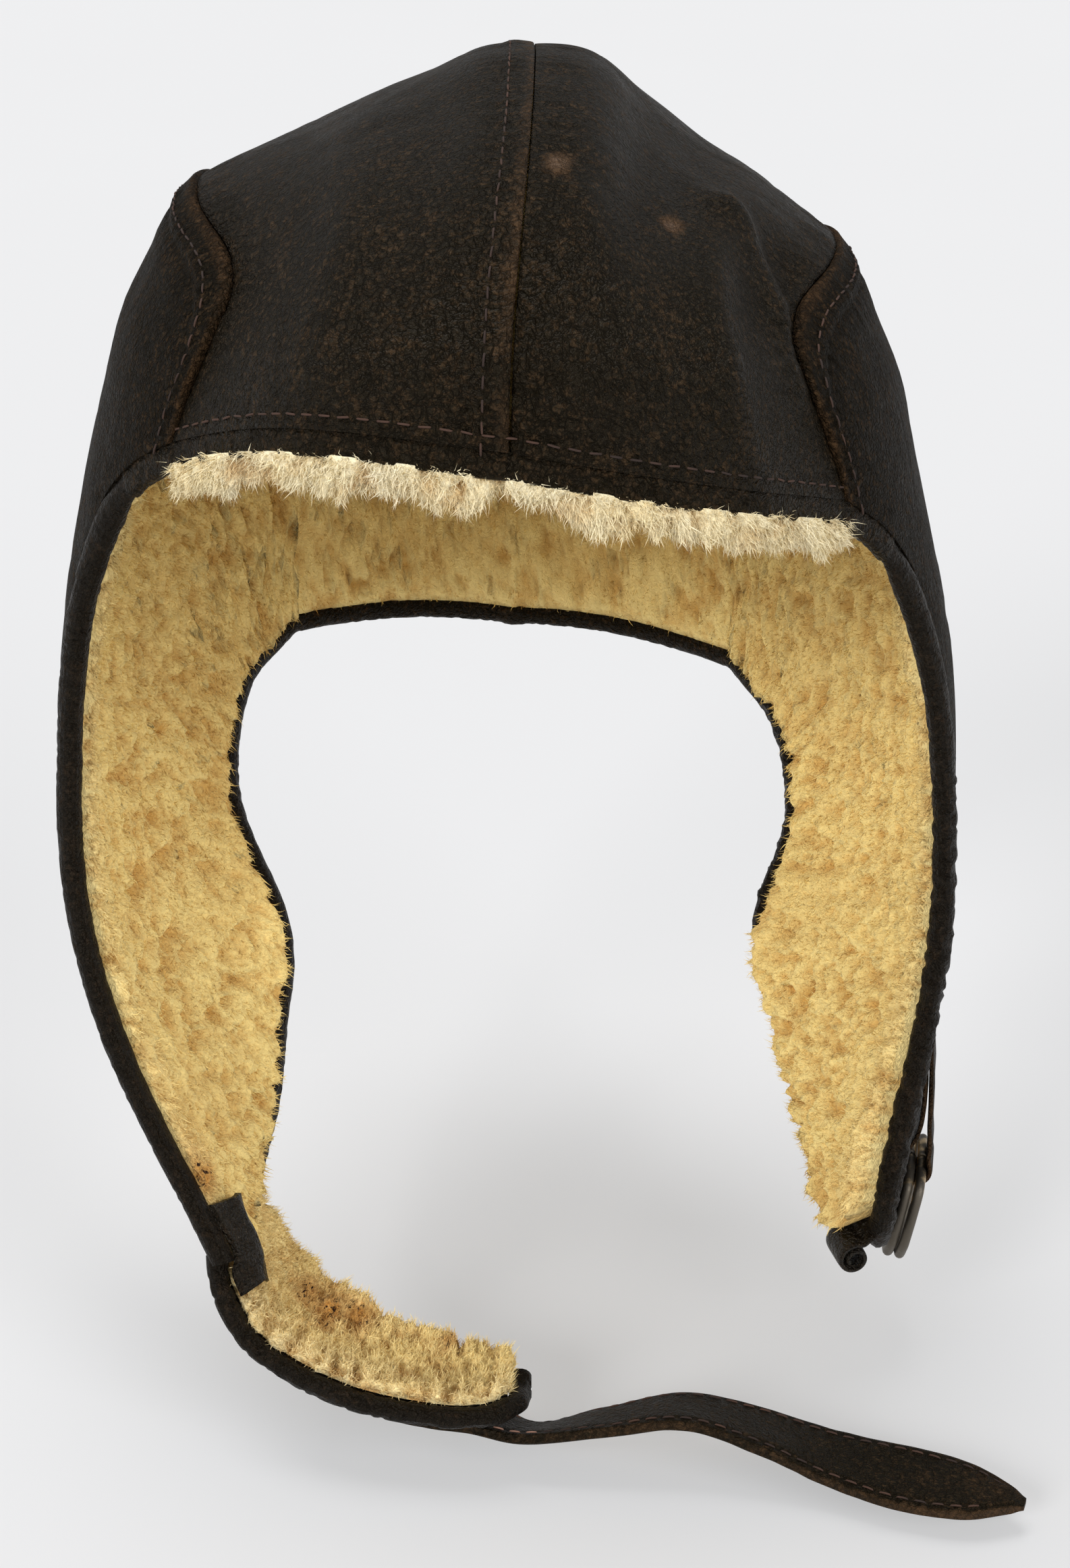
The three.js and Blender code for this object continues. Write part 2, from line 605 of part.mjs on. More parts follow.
function patchOverFlap(down, { inside, height }, above) {
  const edge = panelPoint(LEFT, 0, down);
  const width = edge.distanceTo(panelPoint(LEFT, 1, down));
  const point = panelPoint(LEFT, Math.max(inside, 0) / width, down);
  const out = edge.clone().sub(panelPoint(LEFT, 0.1, down)).normalize();
  const beyond = moved(point, out, Math.max(-inside, 0));
  return lean(moved(beyond, inward(point), leather + height + above));
}

function patchOverBand(along, { inside, height }, above) {
  const point = chinPoint(along, Math.max(inside, 0) / chinWidth, height + above);
  return moved(point, chinFrame(along).across, Math.min(inside, 0));
}

function joinPatch() {
  const surface = (above) => [
    ...patchOnFlap.map((down) => PATCH.map((stop) => patchOverFlap(down, stop, above))),
    ...patchOnBand.map((along) => PATCH.map((stop) => patchOverBand(along, stop, above))),
  ];
  return wall(surface(0), surface(patchThickness));
}

// The rings and the loop that carries them, on the outside of the right flap

const tabBack = tabPlace * halfDepth;
const tabTop = lean(new THREE.Vector3(sidePoint(RIGHT, tabBack / halfDepth, tabLevel).x, tabBack, heightOf(tabLevel)));
const eyeRadius = ringWire + clearance + 0.15;
const pivot = new THREE.Vector3(tabTop.x + tabStandOff - tabSlant * tabLength, tabBack, tabTop.z - tabLength);

function buckleTab() {
  const drop = tabLength;
  const shape = new THREE.Shape();
  const body = eyeRadius + tabLayer;
  const top = tabTop.x - pivot.x + 3 * clearance;
  shape.moveTo(top, drop);
  shape.lineTo(top + tabLayer, drop);
  shape.quadraticCurveTo(top + 2.2 * tabLayer, 0.5 * drop, body * Math.cos(0.5), body * Math.sin(0.5));
  shape.absarc(0, 0, body, 0.5, Math.PI - 0.7, true);
  shape.quadraticCurveTo(top - 0.2, 0.42 * drop, top, drop);
  const eye = new THREE.Path();
  eye.absarc(0, 0, eyeRadius, 0, 2 * Math.PI, false);
  shape.holes.push(eye);
  const geometry = new THREE.ExtrudeGeometry(shape, { depth: tabWidth, bevelEnabled: false, curveSegments: 10 });
  geometry.translate(0, 0, -tabWidth / 2);
  geometry.rotateX(Math.PI / 2);
  return geometry;
}

// A flat ring with a straight bar along Y at its top, hanging in -Z
function hangingRing() {
  const half = (ringInside + ringWire) / 2;
  const drop = ringLength - ringWire;
  const path = [[-0.5, 0], [0, 0], [0.5, 0], [0.93, 0.04], [1, 0.18], [1, 0.45], [0.9, 0.72], [0.62, 0.93], [0.22, 1]];
  const round = [...path.slice(1), ...path.slice(2).reverse().map(([across, down]) => [-across, down])];
  const points = round.map(([across, down]) => new THREE.Vector3(0, across * half, -down * drop));
  const sides = 6;
  const positions = [];
  const index = [];
  points.forEach((point, i) => {
    const next = points[(i + 1) % points.length];
    const before = points[(i + points.length - 1) % points.length];
    const way = next.clone().sub(before).normalize();
    const across = new THREE.Vector3(1, 0, 0);
    oval(point, across, way.clone().cross(across), ringWire, ringWire, sides).forEach((p) => positions.push(...p));
    for (let j = 0; j < sides; j += 1) {
      const k = ((i + 1) % points.length) * sides;
      const [a, b, c, d] = [i * sides + j, i * sides + ((j + 1) % sides), k + ((j + 1) % sides), k + j];
      index.push(a, b, c, a, c, d);
    }
  });
  return solidOf(positions, index);
}

// The curled tab: a strip of leather rolled three quarters round, under the right flap's tip
function tabCurl() {
  const shape = new THREE.Shape();
  const turns = Array.from({ length: curlSteps + 1 }, (_, i) => i / curlSteps);
  const radius = (u) => curlRadius * (1 - 0.25 * u);
  const angle = (u) => Math.PI * (0.15 + 1.5 * u);
  turns.forEach((u, i) => {
    const [x, y] = [radius(u) * Math.cos(angle(u)), radius(u) * Math.sin(angle(u))];
    if (i === 0) shape.moveTo(x, y);
    else shape.lineTo(x, y);
  });
  turns.slice().reverse().forEach((u) => {
    const thin = radius(u) - tabLayer;
    shape.lineTo(thin * Math.cos(angle(u)), thin * Math.sin(angle(u)));
  });
  const geometry = new THREE.ExtrudeGeometry(shape, { depth: curlWidth, bevelEnabled: false });
  geometry.translate(0, 0, -curlWidth / 2);
  return geometry;
}

// Assembly

const finishes = {
  hide: new THREE.MeshStandardMaterial({ color: 0x1d1714, roughness: 0.5, metalness: 0 }),
  rim: new THREE.MeshStandardMaterial({ color: 0x141110, roughness: 0.45, metalness: 0 }),
  strap: new THREE.MeshStandardMaterial({ color: 0x2a1d14, roughness: 0.6, metalness: 0 }),
  fleece: new THREE.MeshStandardMaterial({ color: 0xdcc894, roughness: 0.95, metalness: 0 }),
  metal: new THREE.MeshStandardMaterial({ color: 0x6f6558, roughness: 0.4, metalness: 0.9 }),
};

const helmet = new THREE.Group();

function add(name, geometry, finish, parent = helmet) {
  const mesh = new THREE.Mesh(geometry, finishes[finish]);
  mesh.name = name;
  parent.add(mesh);
  return mesh;
}

for (const [side, name] of [[LEFT, "left"], [RIGHT, "right"]]) {
  add(`crown_panel_${name}`, crownPanel(side), "hide");
  add(`side_panel_${name}`, sidePanel(side), "hide");
  add(`crown_fleece_${name}`, crownFleece(side), "fleece");
  add(`side_fleece_${name}`, sideFleece(side), "fleece");
  add(`brow_hem_${name}`, browHem(side), "hide");
}
add("face_binding_left", rim(LEFT, cornerStop, endStop), "rim");
add("rear_binding_left", rim(LEFT, endStop + rows, napeStop), "rim");
add("edge_binding_right", rim(RIGHT, cornerStop, napeStop), "rim");
add("neck_binding", neckBinding(), "hide");

add("chin_piece", chinPiece(), "hide");
add("chin_fleece", chinFleece(), "fleece");
add("chin_binding", chinBinding(), "rim");
add("join_patch", joinPatch(), "rim");
add("chin_strap", chinStrap(), "strap");

const tipStop = rims[RIGHT][endStop + Math.round(0.3 * rows)];
const curlSeat = moved(tipStop.point, tipStop.out, curlDrop);
curlSeat.addScaledVector(tipStop.off, -(leather + rimThickness / 2 + clearance + curlRadius - curlPress));
const curl = add("tab_curl", tabCurl(), "rim");
curl.position.copy(lean(curlSeat));
curl.rotation.set(Math.PI / 2, 0, 0.25);

const buckle = new THREE.Group();
buckle.position.copy(pivot);
buckle.rotation.z = buckleTurn;
helmet.add(buckle);
add("buckle_tab", buckleTab(), "rim", buckle);
for (const [name, side] of [["ring_inner", -1], ["ring_outer", 1]]) {
  const ring = add(name, hangingRing(), "metal", buckle);
  ring.rotation.y = ringTilt;
  ring.position.set((side * (ringWire + clearance)) / 2 * Math.cos(ringTilt), 0, (-side * (ringWire + clearance)) / 2 * Math.sin(ringTilt));
}

export default helmet;
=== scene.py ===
# A fleece-lined leather flying helmet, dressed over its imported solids.
# Lengths in the tables are millimetres or shares, and every mesh is stored in metres.
import math

import bpy
import numpy as np
from bpy.props import FloatProperty, FloatVectorProperty, PointerProperty
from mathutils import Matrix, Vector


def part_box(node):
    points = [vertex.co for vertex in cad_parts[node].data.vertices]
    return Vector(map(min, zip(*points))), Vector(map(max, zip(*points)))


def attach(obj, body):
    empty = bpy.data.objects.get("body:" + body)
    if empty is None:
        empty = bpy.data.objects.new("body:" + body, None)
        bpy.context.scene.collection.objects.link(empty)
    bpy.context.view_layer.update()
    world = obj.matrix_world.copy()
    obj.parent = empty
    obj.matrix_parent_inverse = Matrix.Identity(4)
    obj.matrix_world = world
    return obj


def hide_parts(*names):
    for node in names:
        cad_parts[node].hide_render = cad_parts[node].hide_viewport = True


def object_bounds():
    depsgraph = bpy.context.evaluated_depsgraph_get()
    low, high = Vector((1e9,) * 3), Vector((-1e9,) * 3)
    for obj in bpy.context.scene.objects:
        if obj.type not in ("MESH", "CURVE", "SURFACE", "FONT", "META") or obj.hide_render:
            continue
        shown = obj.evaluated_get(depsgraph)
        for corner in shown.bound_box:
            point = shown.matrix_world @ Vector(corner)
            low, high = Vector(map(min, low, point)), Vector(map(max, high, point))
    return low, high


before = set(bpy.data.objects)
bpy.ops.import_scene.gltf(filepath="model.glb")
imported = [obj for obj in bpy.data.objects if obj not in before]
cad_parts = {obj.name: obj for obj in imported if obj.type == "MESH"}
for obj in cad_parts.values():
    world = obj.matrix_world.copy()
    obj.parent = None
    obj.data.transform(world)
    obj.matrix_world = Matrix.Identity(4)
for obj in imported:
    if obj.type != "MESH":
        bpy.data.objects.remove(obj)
CAD_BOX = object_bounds()

bl_info = {
    "name": "Flying helmet",
    "version": (1, 0, 0),
    "blender": (4, 5, 0),
    "location": "3D View > Sidebar > Helmet",
    "description": "Leather flying helmet with a fleece lining, ear flaps, chin band and strap",
    "category": "Object",
}

MM = 0.001
LEFT = -1
RIGHT = 1
NAMES = {LEFT: "left", RIGHT: "right"}

# Driving sizes, the same as in the solids
HALF_WIDTH = 112
HALF_DEPTH = 105
SKULL_HEIGHT = 178
FLAP_LENGTH = 114
LEATHER = 2
FOLDED_EDGE = 1.6
CLEARANCE = 0.35
PILE_CLEARANCE = 0.6
RIM_CLEARANCE = 0.6
PILE_DEPTH = 7
LOCK_DEPTH = 2.6
BROW_LIFT = 5
HEM_WIDTH = 6.5
HEM_THICKNESS = 4
RIM_WIDTH = 8.6
RIM_THICKNESS = 6.6
LEAN_SLOPE = 0.09
PULL_AHEAD = 20
PULL_DOWN = 15
PULL_ASIDE = 20
CHIN_LENGTH = 84
CHIN_WIDTH = 33
CHIN_SKEW = 0.2
CHIN_RIM = 5.5
STRAP_LENGTH = 143
STRAP_WIDTH = 22
STRAP_THICKNESS = 3.4
PATCH_THICKNESS = 1.3
SEAM_FADE = 2.6
BROW_REACH = 0.16
CORE_EASE = 20
CROWN_TOP = LEATHER + PILE_CLEARANCE + PILE_DEPTH + LOCK_DEPTH
NAPE_HEIGHT = CROWN_TOP - SKULL_HEIGHT
CORE_TOP = CROWN_TOP - 0.49 * SKULL_HEIGHT


def table(columns, *rows):
    """A table of named columns, read by the first one"""
    names = columns.split()
    values = np.array(rows, float)
    return {name: values[:, i] for i, name in enumerate(names)} | {"key": names[0]}


# The side of the head at each level: 0 at the crown's top, 1 at the nape, 2 at the tip of a flap
SIDE = table(
    "level width centre front rear",
    (0.1, 0.6, 0.12, 0.6, 0.62),
    (0.225, 0.715, 0.12, 0.75, 0.75),
    (0.27, 0.775, 0.1, 0.84, 0.8),
    (0.32, 0.812, 0.09, 0.97, 0.86),
    (0.39, 0.865, 0.05, 0.96, 0.9),
    (0.506, 0.917, 0.02, 0.94, 0.93),
    (0.63, 0.965, 0, 0.95, 0.97),
    (0.787, 1.015, -0.05, 1, 1),
    (1, 1.03, -0.15, 1.1, 1.07),
    (1.25, 1.012, -0.3, 1.1, 0.98),
    (1.5, 0.962, -0.45, 1.1, 0.8),
    (1.75, 0.89, -0.55, 1.1, 0.95),
    (2, 0.82, -0.6, 1.1, 1.1),
)

# The middle seam (ridge) and the seam between crown and ear panel, from brow to nape
CROWN = table(
    "along ridge_back ridge_level seam_back seam_level bulge",
    (0, -1, 0.365, -0.571, 0.472, 0.13),
    (0.12, -0.955, 0.235, -0.565, 0.33, 0.105),
    (0.24, -0.79, 0.115, -0.4, 0.255, 0.07),
    (0.38, -0.42, 0.03, -0.1, 0.225, 0.035),
    (0.52, 0.06, 0, 0.2, 0.222, 0.03),
    (0.66, 0.5, 0.06, 0.46, 0.27, 0.06),
    (0.79, 0.84, 0.26, 0.67, 0.43, 0.11),
    (0.9, 0.99, 0.6, 0.77, 0.7, 0.1),
    (1, 0.93, 1, 0.73, 1, 0.08),
)

# The edges of an ear panel: face edge, rear edge, and the flap's end between them
FACE_ROWS = (
    (0, -0.571, 0.472),
    (0.09, -0.44, 0.54),
    (0.17, -0.345, 0.63),
    (0.27, -0.325, 0.77),
    (0.37, -0.342, 0.93),
    (0.49, -0.385, 1.12),
    (0.61, -0.44, 1.32),
    (0.74, -0.505, 1.52),
    (0.88, -0.59, 1.72),
)
REAR_ROWS = (
    (0, 0.73, 1),
    (0.09, 0.64, 1.05),
    (0.22, 0.52, 1.11),
    (0.37, 0.36, 1.24),
    (0.54, 0.19, 1.41),
    (0.72, 0.06, 1.6),
    (0.87, -0.1, 1.76),
)
END_ROWS = {
    LEFT: ((0, -0.66, 1.87), (0.5, -0.52, 1.885), (1, -0.36, 1.86)),
    RIGHT: ((0, -0.635, 1.84), (0.3, -0.58, 1.915), (0.62, -0.47, 1.915), (1, -0.29, 1.84)),
}
FLAP = {
    side: {
        "face": table("down back level", *FACE_ROWS, (1, *ends[0][1:])),
        "rear": table("down back level", *REAR_ROWS, (1, *ends[-1][1:])),
        "end": table("across back level", *ends),
    }
    for side, ends in END_ROWS.items()
}

# Folds and hollows of the crown: side, along, across, length, width, height
FOLDS = (
    (RIGHT, 0.2, 0.62, 0.2, 0.1, 1.6),
    (RIGHT, 0.34, 0.38, 0.14, 0.16, -1.6),
    (LEFT, 0.26, 0.5, 0.22, 0.12, 1),
    (LEFT, 0.5, 0.6, 0.1, 0.2, -0.9),
)

LEAN = table("level aside", (0, 0), (0.225, -0.04), (0.46, -0.05), (0.787, -0.055), (1.5, -0.055), (2, -0.02))

# The lined band under the chin, from the left flap on
CHIN = table(
    "along right ahead down width tilt",
    (0, 0, 0, 0, 1, 0),
    (0.12, 0.035, 0.055, 0.1, 1, 0),
    (0.3, 0.155, 0.14, 0.215, 0.98, -0.03),
    (0.55, 0.4, 0.24, 0.305, 0.95, -0.1),
    (0.8, 0.67, 0.29, 0.345, 0.9, -0.16),
    (0.93, 0.81, 0.3, 0.35, 0.78, -0.16),
    (1, 0.88, 0.3, 0.35, 0.45, -0.16),
)

# The strap beyond the band: right, ahead, up, width, tilt
STRAP = (
    (0.1, 0.04, -0.02, 0.95, -0.5),
    (0.235, 0.05, 0.01, 0.95, -0.4),
    (0.38, 0.055, 0.04, 0.97, -0.3),
    (0.51, 0.075, 0.015, 0.97, -0.2),
    (0.64, 0.11, -0.02, 0.97, -0.06),
    (0.76, 0.15, -0.03, 1.06, 0),
    (0.875, 0.19, -0.03, 0.86, 0),
    (0.96, 0.22, -0.03, 0.16, 0),
)

# Where the strap is sewn under the band, in shares of the band's length
STRAP_SEWN = (0.34, 0.45, 0.56, 0.67, 0.78, 0.88)


# Numbers and vectors


def read(source, column, at):
    """A cubic curve through the rows of a table, read at values of its key column"""
    key = source[source["key"]]
    value = source[column]
    at = np.asarray(at, float)
    slope = np.empty_like(value)
    slope[1:-1] = (value[2:] - value[:-2]) / (key[2:] - key[:-2])
    slope[0] = (value[1] - value[0]) / (key[1] - key[0])
    slope[-1] = (value[-1] - value[-2]) / (key[-1] - key[-2])
    row = np.clip(np.searchsorted(key, at, side="right") - 1, 0, len(key) - 2)
    span = key[row + 1] - key[row]
    u = np.clip((at - key[row]) / span, 0, 1)
    curve = (
        (2 * u**3 - 3 * u**2 + 1) * value[row]
        + (u**3 - 2 * u**2 + u) * span * slope[row]
        + (3 * u**2 - 2 * u**3) * value[row + 1]
        + (u**3 - u**2) * span * slope[row + 1]
    )
    before = np.minimum(at - key[0], 0) * slope[0]
    beyond = np.maximum(at - key[-1], 0) * slope[-1]
    return curve + before + beyond


def ease(share):
    u = np.clip(share, 0, 1)
    return u * u * (3 - 2 * u)


def unit(vectors):
    return vectors / np.maximum(np.linalg.norm(vectors, axis=-1, keepdims=True), 1e-9)


def dot(a, b):
    return (a * b).sum(-1, keepdims=True)


def stack(x, y, z):
    return np.stack(np.broadcast_arrays(x, y, z), -1).astype(float)


def length_of(vectors):
    return np.linalg.norm(vectors, axis=-1)


def scaled(vectors, by):
    """Each vector times its own number"""
    return vectors * np.asarray(by)[..., None]


def bell(far, centre, width):
    """A smooth swell that is 1 where far is centre"""
    return np.exp(-(((far - centre) / width) ** 2))


def interpolated(at, key, points):
    """Points read between rows, straight from one to the next"""
    return np.stack([np.interp(at, key, points[:, i]) for i in range(points.shape[1])], -1)


def lattice(cells, seed):
    """Even numbers from 0 to 1, one for each cell of a lattice"""
    x, y, z = (cells[..., i].astype(np.int64) for i in range(3))
    n = x * 374761393 + y * 668265263 + z * 2147483629 + seed * 144269504
    n = (n ^ (n >> 13)) * 1274126177
    n = n ^ (n >> 16)
    return (n & 0xFFFFFF) / 0xFFFFFF


def cloud(points, size, seed):
    """Smooth noise from -1 to 1 with lumps of that size"""
    place = points / size
    base = np.floor(place)
    u = place - base
    u = u * u * (3 - 2 * u)
    total = 0
    for corner in np.ndindex(2, 2, 2):
        weight = np.prod(np.where(np.array(corner) == 1, u, 1 - u), axis=-1)
        total = total + weight * lattice(base + np.array(corner), seed)
    return 2 * total - 1


def drift(points, size, seed):
    """Smooth noise from -1 to 1 along each of the three directions"""
    return np.stack([cloud(points, size, seed + k) for k in (1, 2, 3)], -1)


def veins(points, size, seed, sharpness):
    """1 on winding sheets through space, and 0 away from them"""
    return np.clip(1 - np.abs(cloud(points, size, seed)) * sharpness, 0, 1)


def clump_of(points, size, seed):
    """The nearest of scattered clump centres: how far in shares of size, where, and its own number"""
    place = points / size
    base = np.floor(place)
    best = np.full(points.shape[:-1], 9.0)
    centre = np.zeros_like(place)
    own = np.zeros(points.shape[:-1])
    for step in np.ndindex(3, 3, 3):
        cell = base + np.array(step) - 1
        spot = cell + np.stack([lattice(cell, seed + k) for k in (11, 12, 13)], -1)
        far = length_of(spot - place)
        nearer = far < best
        best = np.where(nearer, far, best)
        centre = np.where(nearer[..., None], spot, centre)
        own = np.where(nearer, lattice(cell, seed + 14), own)
    return best, centre * size, own


def turned(vectors, axis, angle):
    """Vectors turned about unit axes"""
    c, s = np.cos(angle), np.sin(angle)
    return vectors * c + np.cross(axis, vectors) * s + axis * dot(axis, vectors) * (1 - c)


# The helmet's outer surface


def height_of(level):
    return np.where(level < 1, CROWN_TOP - level * SKULL_HEIGHT, NAPE_HEIGHT - (level - 1) * FLAP_LENGTH)


def level_of(height):
    above = (CROWN_TOP - height) / SKULL_HEIGHT
    return np.where(height > NAPE_HEIGHT, above, 1 + (NAPE_HEIGHT - height) / FLAP_LENGTH)


def side_point(side, back, level):
    centre = read(SIDE, "centre", level)
    reach = np.where(back < centre, read(SIDE, "front", level), read(SIDE, "rear", level))
    across = np.sqrt(np.maximum(1 - ((back - centre) / reach) ** 2, 0))
    width = HALF_WIDTH * read(SIDE, "width", level)
    return stack(side * width * across, back * HALF_DEPTH, height_of(level))


def inward(points):
    """The way into the helmet from points of its wall"""
    above = points[..., 2] - CORE_TOP
    height = CORE_TOP + (above - np.hypot(above, CORE_EASE)) / 2
    centre = read(SIDE, "centre", level_of(height)) * HALF_DEPTH
    return unit(stack(0, centre, height) - points)


def crown_point(side, along, across):
    ridge_height = height_of(read(CROWN, "ridge_level", along))
    ridge = stack(0, read(CROWN, "ridge_back", along) * HALF_DEPTH, ridge_height)
    seam = side_point(side, read(CROWN, "seam_back", along), read(CROWN, "seam_level", along))
    across = np.asarray(across, float)
    points = ridge + (seam - ridge) * across[..., None]
    chord = unit(seam - ridge)
    out = -inward(points)
    out = unit(out - chord * dot(out, chord))
    share = np.clip(across, 0, 1)
    lift = read(CROWN, "bulge", along) * HALF_DEPTH * np.sin(math.pi * share**0.85)
    for fold_side, fold_along, fold_across, length, width, height in FOLDS:
        if fold_side == side:
            far = ((along - fold_along) / length) ** 2 + ((across - fold_across) / width) ** 2
            lift = lift + LEATHER * height * np.exp(-far)
    if side == LEFT:
        points[..., 2] += BROW_LIFT * np.sin(math.pi * share) * (1 - ease(along / BROW_REACH))
    return points + scaled(out, lift)


def panel_point(side, along, down):
    """A point of an ear panel, from its seam (down 0) to the flap's end (down 1)"""
    flap = FLAP[side]
    pull = np.maximum(1 - down, 0) ** SEAM_FADE

    def blended(column, seam_column):
        def corners(at):
            return pull * read(CROWN, seam_column, at) + (1 - pull) * read(flap["end"], column, at)

        return (
            corners(along)
            + (1 - along) * (read(flap["face"], column, down) - corners(0))
            + along * (read(flap["rear"], column, down) - corners(1))
        )

    return side_point(side, blended("back", "seam_back"), blended("level", "seam_level"))


def lean(points):
    """The helmet sits a little aside and down on its right, and the chin band pulls the left flap"""
    level = level_of(points[..., 2])
    aside = read(LEAN, "aside", level) * HALF_WIDTH
    pull = np.where(points[..., 0] < 0, ease(level - 1), 0)
    return stack(
        points[..., 0] + aside + pull * pull * PULL_ASIDE,
        points[..., 1] - pull * PULL_AHEAD,
        points[..., 2] - LEAN_SLOPE * points[..., 0] - pull * PULL_DOWN,
    )


# Meshes


def new_object(name, points, faces, material, **values):
    """A mesh from points in millimetres and faces, with its values stored as point attributes"""
    mesh = bpy.data.meshes.new(name)
    points = np.asarray(points, float).reshape(-1, 3) * MM
    loops = np.concatenate([np.asarray(f, np.int32).ravel() for f in faces if len(f)])
    sizes = np.concatenate([np.full(len(f), np.asarray(f).shape[1], np.int32) for f in faces if len(f)])
    starts = np.concatenate([[0], np.cumsum(sizes)[:-1]]).astype(np.int32)
    mesh.vertices.add(len(points))
    mesh.vertices.foreach_set("co", points.astype(np.float32).ravel())
    mesh.loops.add(len(loops))
    mesh.loops.foreach_set("vertex_index", loops)
    mesh.polygons.add(len(sizes))
    mesh.polygons.foreach_set("loop_start", starts)
    mesh.polygons.foreach_set("loop_total", sizes)
    mesh.polygons.foreach_set("use_smooth", np.full(len(sizes), True))
    for key, value in values.items():
        layer = mesh.attributes.new(key, "FLOAT", "POINT")
        layer.data.foreach_set("value", np.asarray(value, np.float32).ravel())
    mesh.update(calc_edges=True)
    mesh.validate()
    mesh.materials.append(material)
    obj = bpy.data.objects.new(name, mesh)
    bpy.context.scene.collection.objects.link(obj)
    return obj


def grid_faces(rows, columns, start=0, flip=False, closed=False):
    """Quads of a grid of points, row by row; closed joins the last column to the first"""
    i = np.arange(rows - 1)[:, None]
    j = np.arange(columns if closed else columns - 1)[None, :]
    a = start + i * columns + j
    b = start + i * columns + (j + 1) % columns
    quads = np.stack([a, a + columns, b + columns, b], -1).reshape(-1, 4)
    return quads[:, ::-1] if flip else quads


def outline_of(rows, columns):
    """Indices round the border of a grid"""
    top = np.arange(columns)
    right = np.arange(1, rows) * columns + columns - 1
    bottom = (rows - 1) * columns + np.arange(columns - 2, -1, -1)
    left = np.arange(rows - 2, 0, -1) * columns
    return np.concatenate([top, right, bottom, left])


def turned_round(faces):
    return [np.asarray(group)[:, ::-1] for group in faces]


def facing_out(points, faces):
    """The faces of a closed mesh, turned round if they look inwards"""
    volume = 0
    for group in faces:
        group = np.asarray(group)
        for k in range(1, group.shape[1] - 1):
            a, b, c = (points[group[:, n]] for n in (0, k, k + 1))
            volume += (a * np.cross(b, c)).sum()
    return faces if volume > 0 else turned_round(faces)


def shell(name, outer, inner, material, **values):
    """A closed wall between two grids of points"""
    rows, columns = outer.shape[:2]
    points = np.concatenate([outer.reshape(-1, 3), inner.reshape(-1, 3)])
    border = outline_of(rows, columns)
    after = np.roll(border, -1)
    half = rows * columns
    edge = np.stack([border, after, after + half, border + half], -1)
    faces = facing_out(points, [grid_faces(rows, columns), grid_faces(rows, columns, half, flip=True), edge])
    both = {key: np.concatenate([value.ravel(), value.ravel()]) for key, value in values.items()}
    return new_object(name, points, faces, material, **both)


def tube(name, rings, material, **values):
    """A closed bar through rings of points"""
    rows, columns = rings.shape[:2]
    ends = rings[[0, -1]].mean(axis=1)
    points = np.concatenate([rings.reshape(-1, 3), ends])
    turn = np.arange(columns)
    first = np.stack([turn, np.roll(turn, -1), np.full(columns, rows * columns)], -1)
    last = np.stack([np.roll(turn, -1), turn, np.full(columns, rows * columns + 1)], -1)
    last[:, :2] += (rows - 1) * columns
    faces = facing_out(points, [grid_faces(rows, columns, closed=True), first, last])
    full = {}
    for key, value in values.items():
        full[key] = np.concatenate([value.ravel(), value[[0, -1]].mean(axis=1)])
    return new_object(name, points, faces, material, **full)


def joined(pieces):
    """Several (points, faces, values) joined into one, for new_object"""
    points, faces, values, start = [], [], {}, 0
    for piece_points, piece_faces, piece_values in pieces:
        points.append(piece_points.reshape(-1, 3))
        faces.extend(np.asarray(f) + start for f in piece_faces)
        start += len(points[-1])
        for key, value in piece_values.items():
            values.setdefault(key, []).append(np.asarray(value, float).ravel())
    return np.concatenate(points), faces, {key: np.concatenate(value) for key, value in values.items()}


def frame_along(path, up):
    """Unit ways along a path, and each way's across and up directions, from rough up directions"""
    way = unit(np.gradient(path, axis=0))
    across = unit(np.cross(way, up))
    return way, across, np.cross(across, way)


def section(path, across, up, width, thickness, sides=16, squareness=1.0):
    """Rings of points round a path; squareness below 1 flattens the oval's sides"""
    turn = 2 * math.pi * (np.arange(sides) + 0.5) / sides
    c, s = np.cos(turn), np.sin(turn)
    c = np.sign(c) * np.abs(c) ** squareness
    s = np.sign(s) * np.abs(s) ** squareness
    width = np.broadcast_to(np.asarray(width, float), len(path))[:, None, None]
    thickness = np.broadcast_to(np.asarray(thickness, float), len(path))[:, None, None]
    return (
        path[:, None, :]
        + across[:, None, :] * c[None, :, None] * width / 2
        + up[:, None, :] * s[None, :, None] * thickness / 2
    )


def along_path(path):
    """Length from the path's start to each of its points"""
    return np.concatenate([[0], np.cumsum(length_of(np.diff(path, axis=0)))])


def resampled(path, step, *others):
    """The path at even steps, and other values along it"""
    length = along_path(path)
    at = np.linspace(0, length[-1], max(int(length[-1] / step), 2) + 1)

    def pick(values):
        picked = interpolated(at, length, values.reshape(len(values), -1))
        return picked.reshape(len(at), *values.shape[1:])

    return [pick(path), *(pick(other) for other in others)]


def softened(path, passes):
    """The path with its corners rounded"""
    path = path.copy()
    for _ in range(passes):
        path[1:-1] = (path[:-2] + 2 * path[1:-1] + path[2:]) / 4
    return path


# Shaders


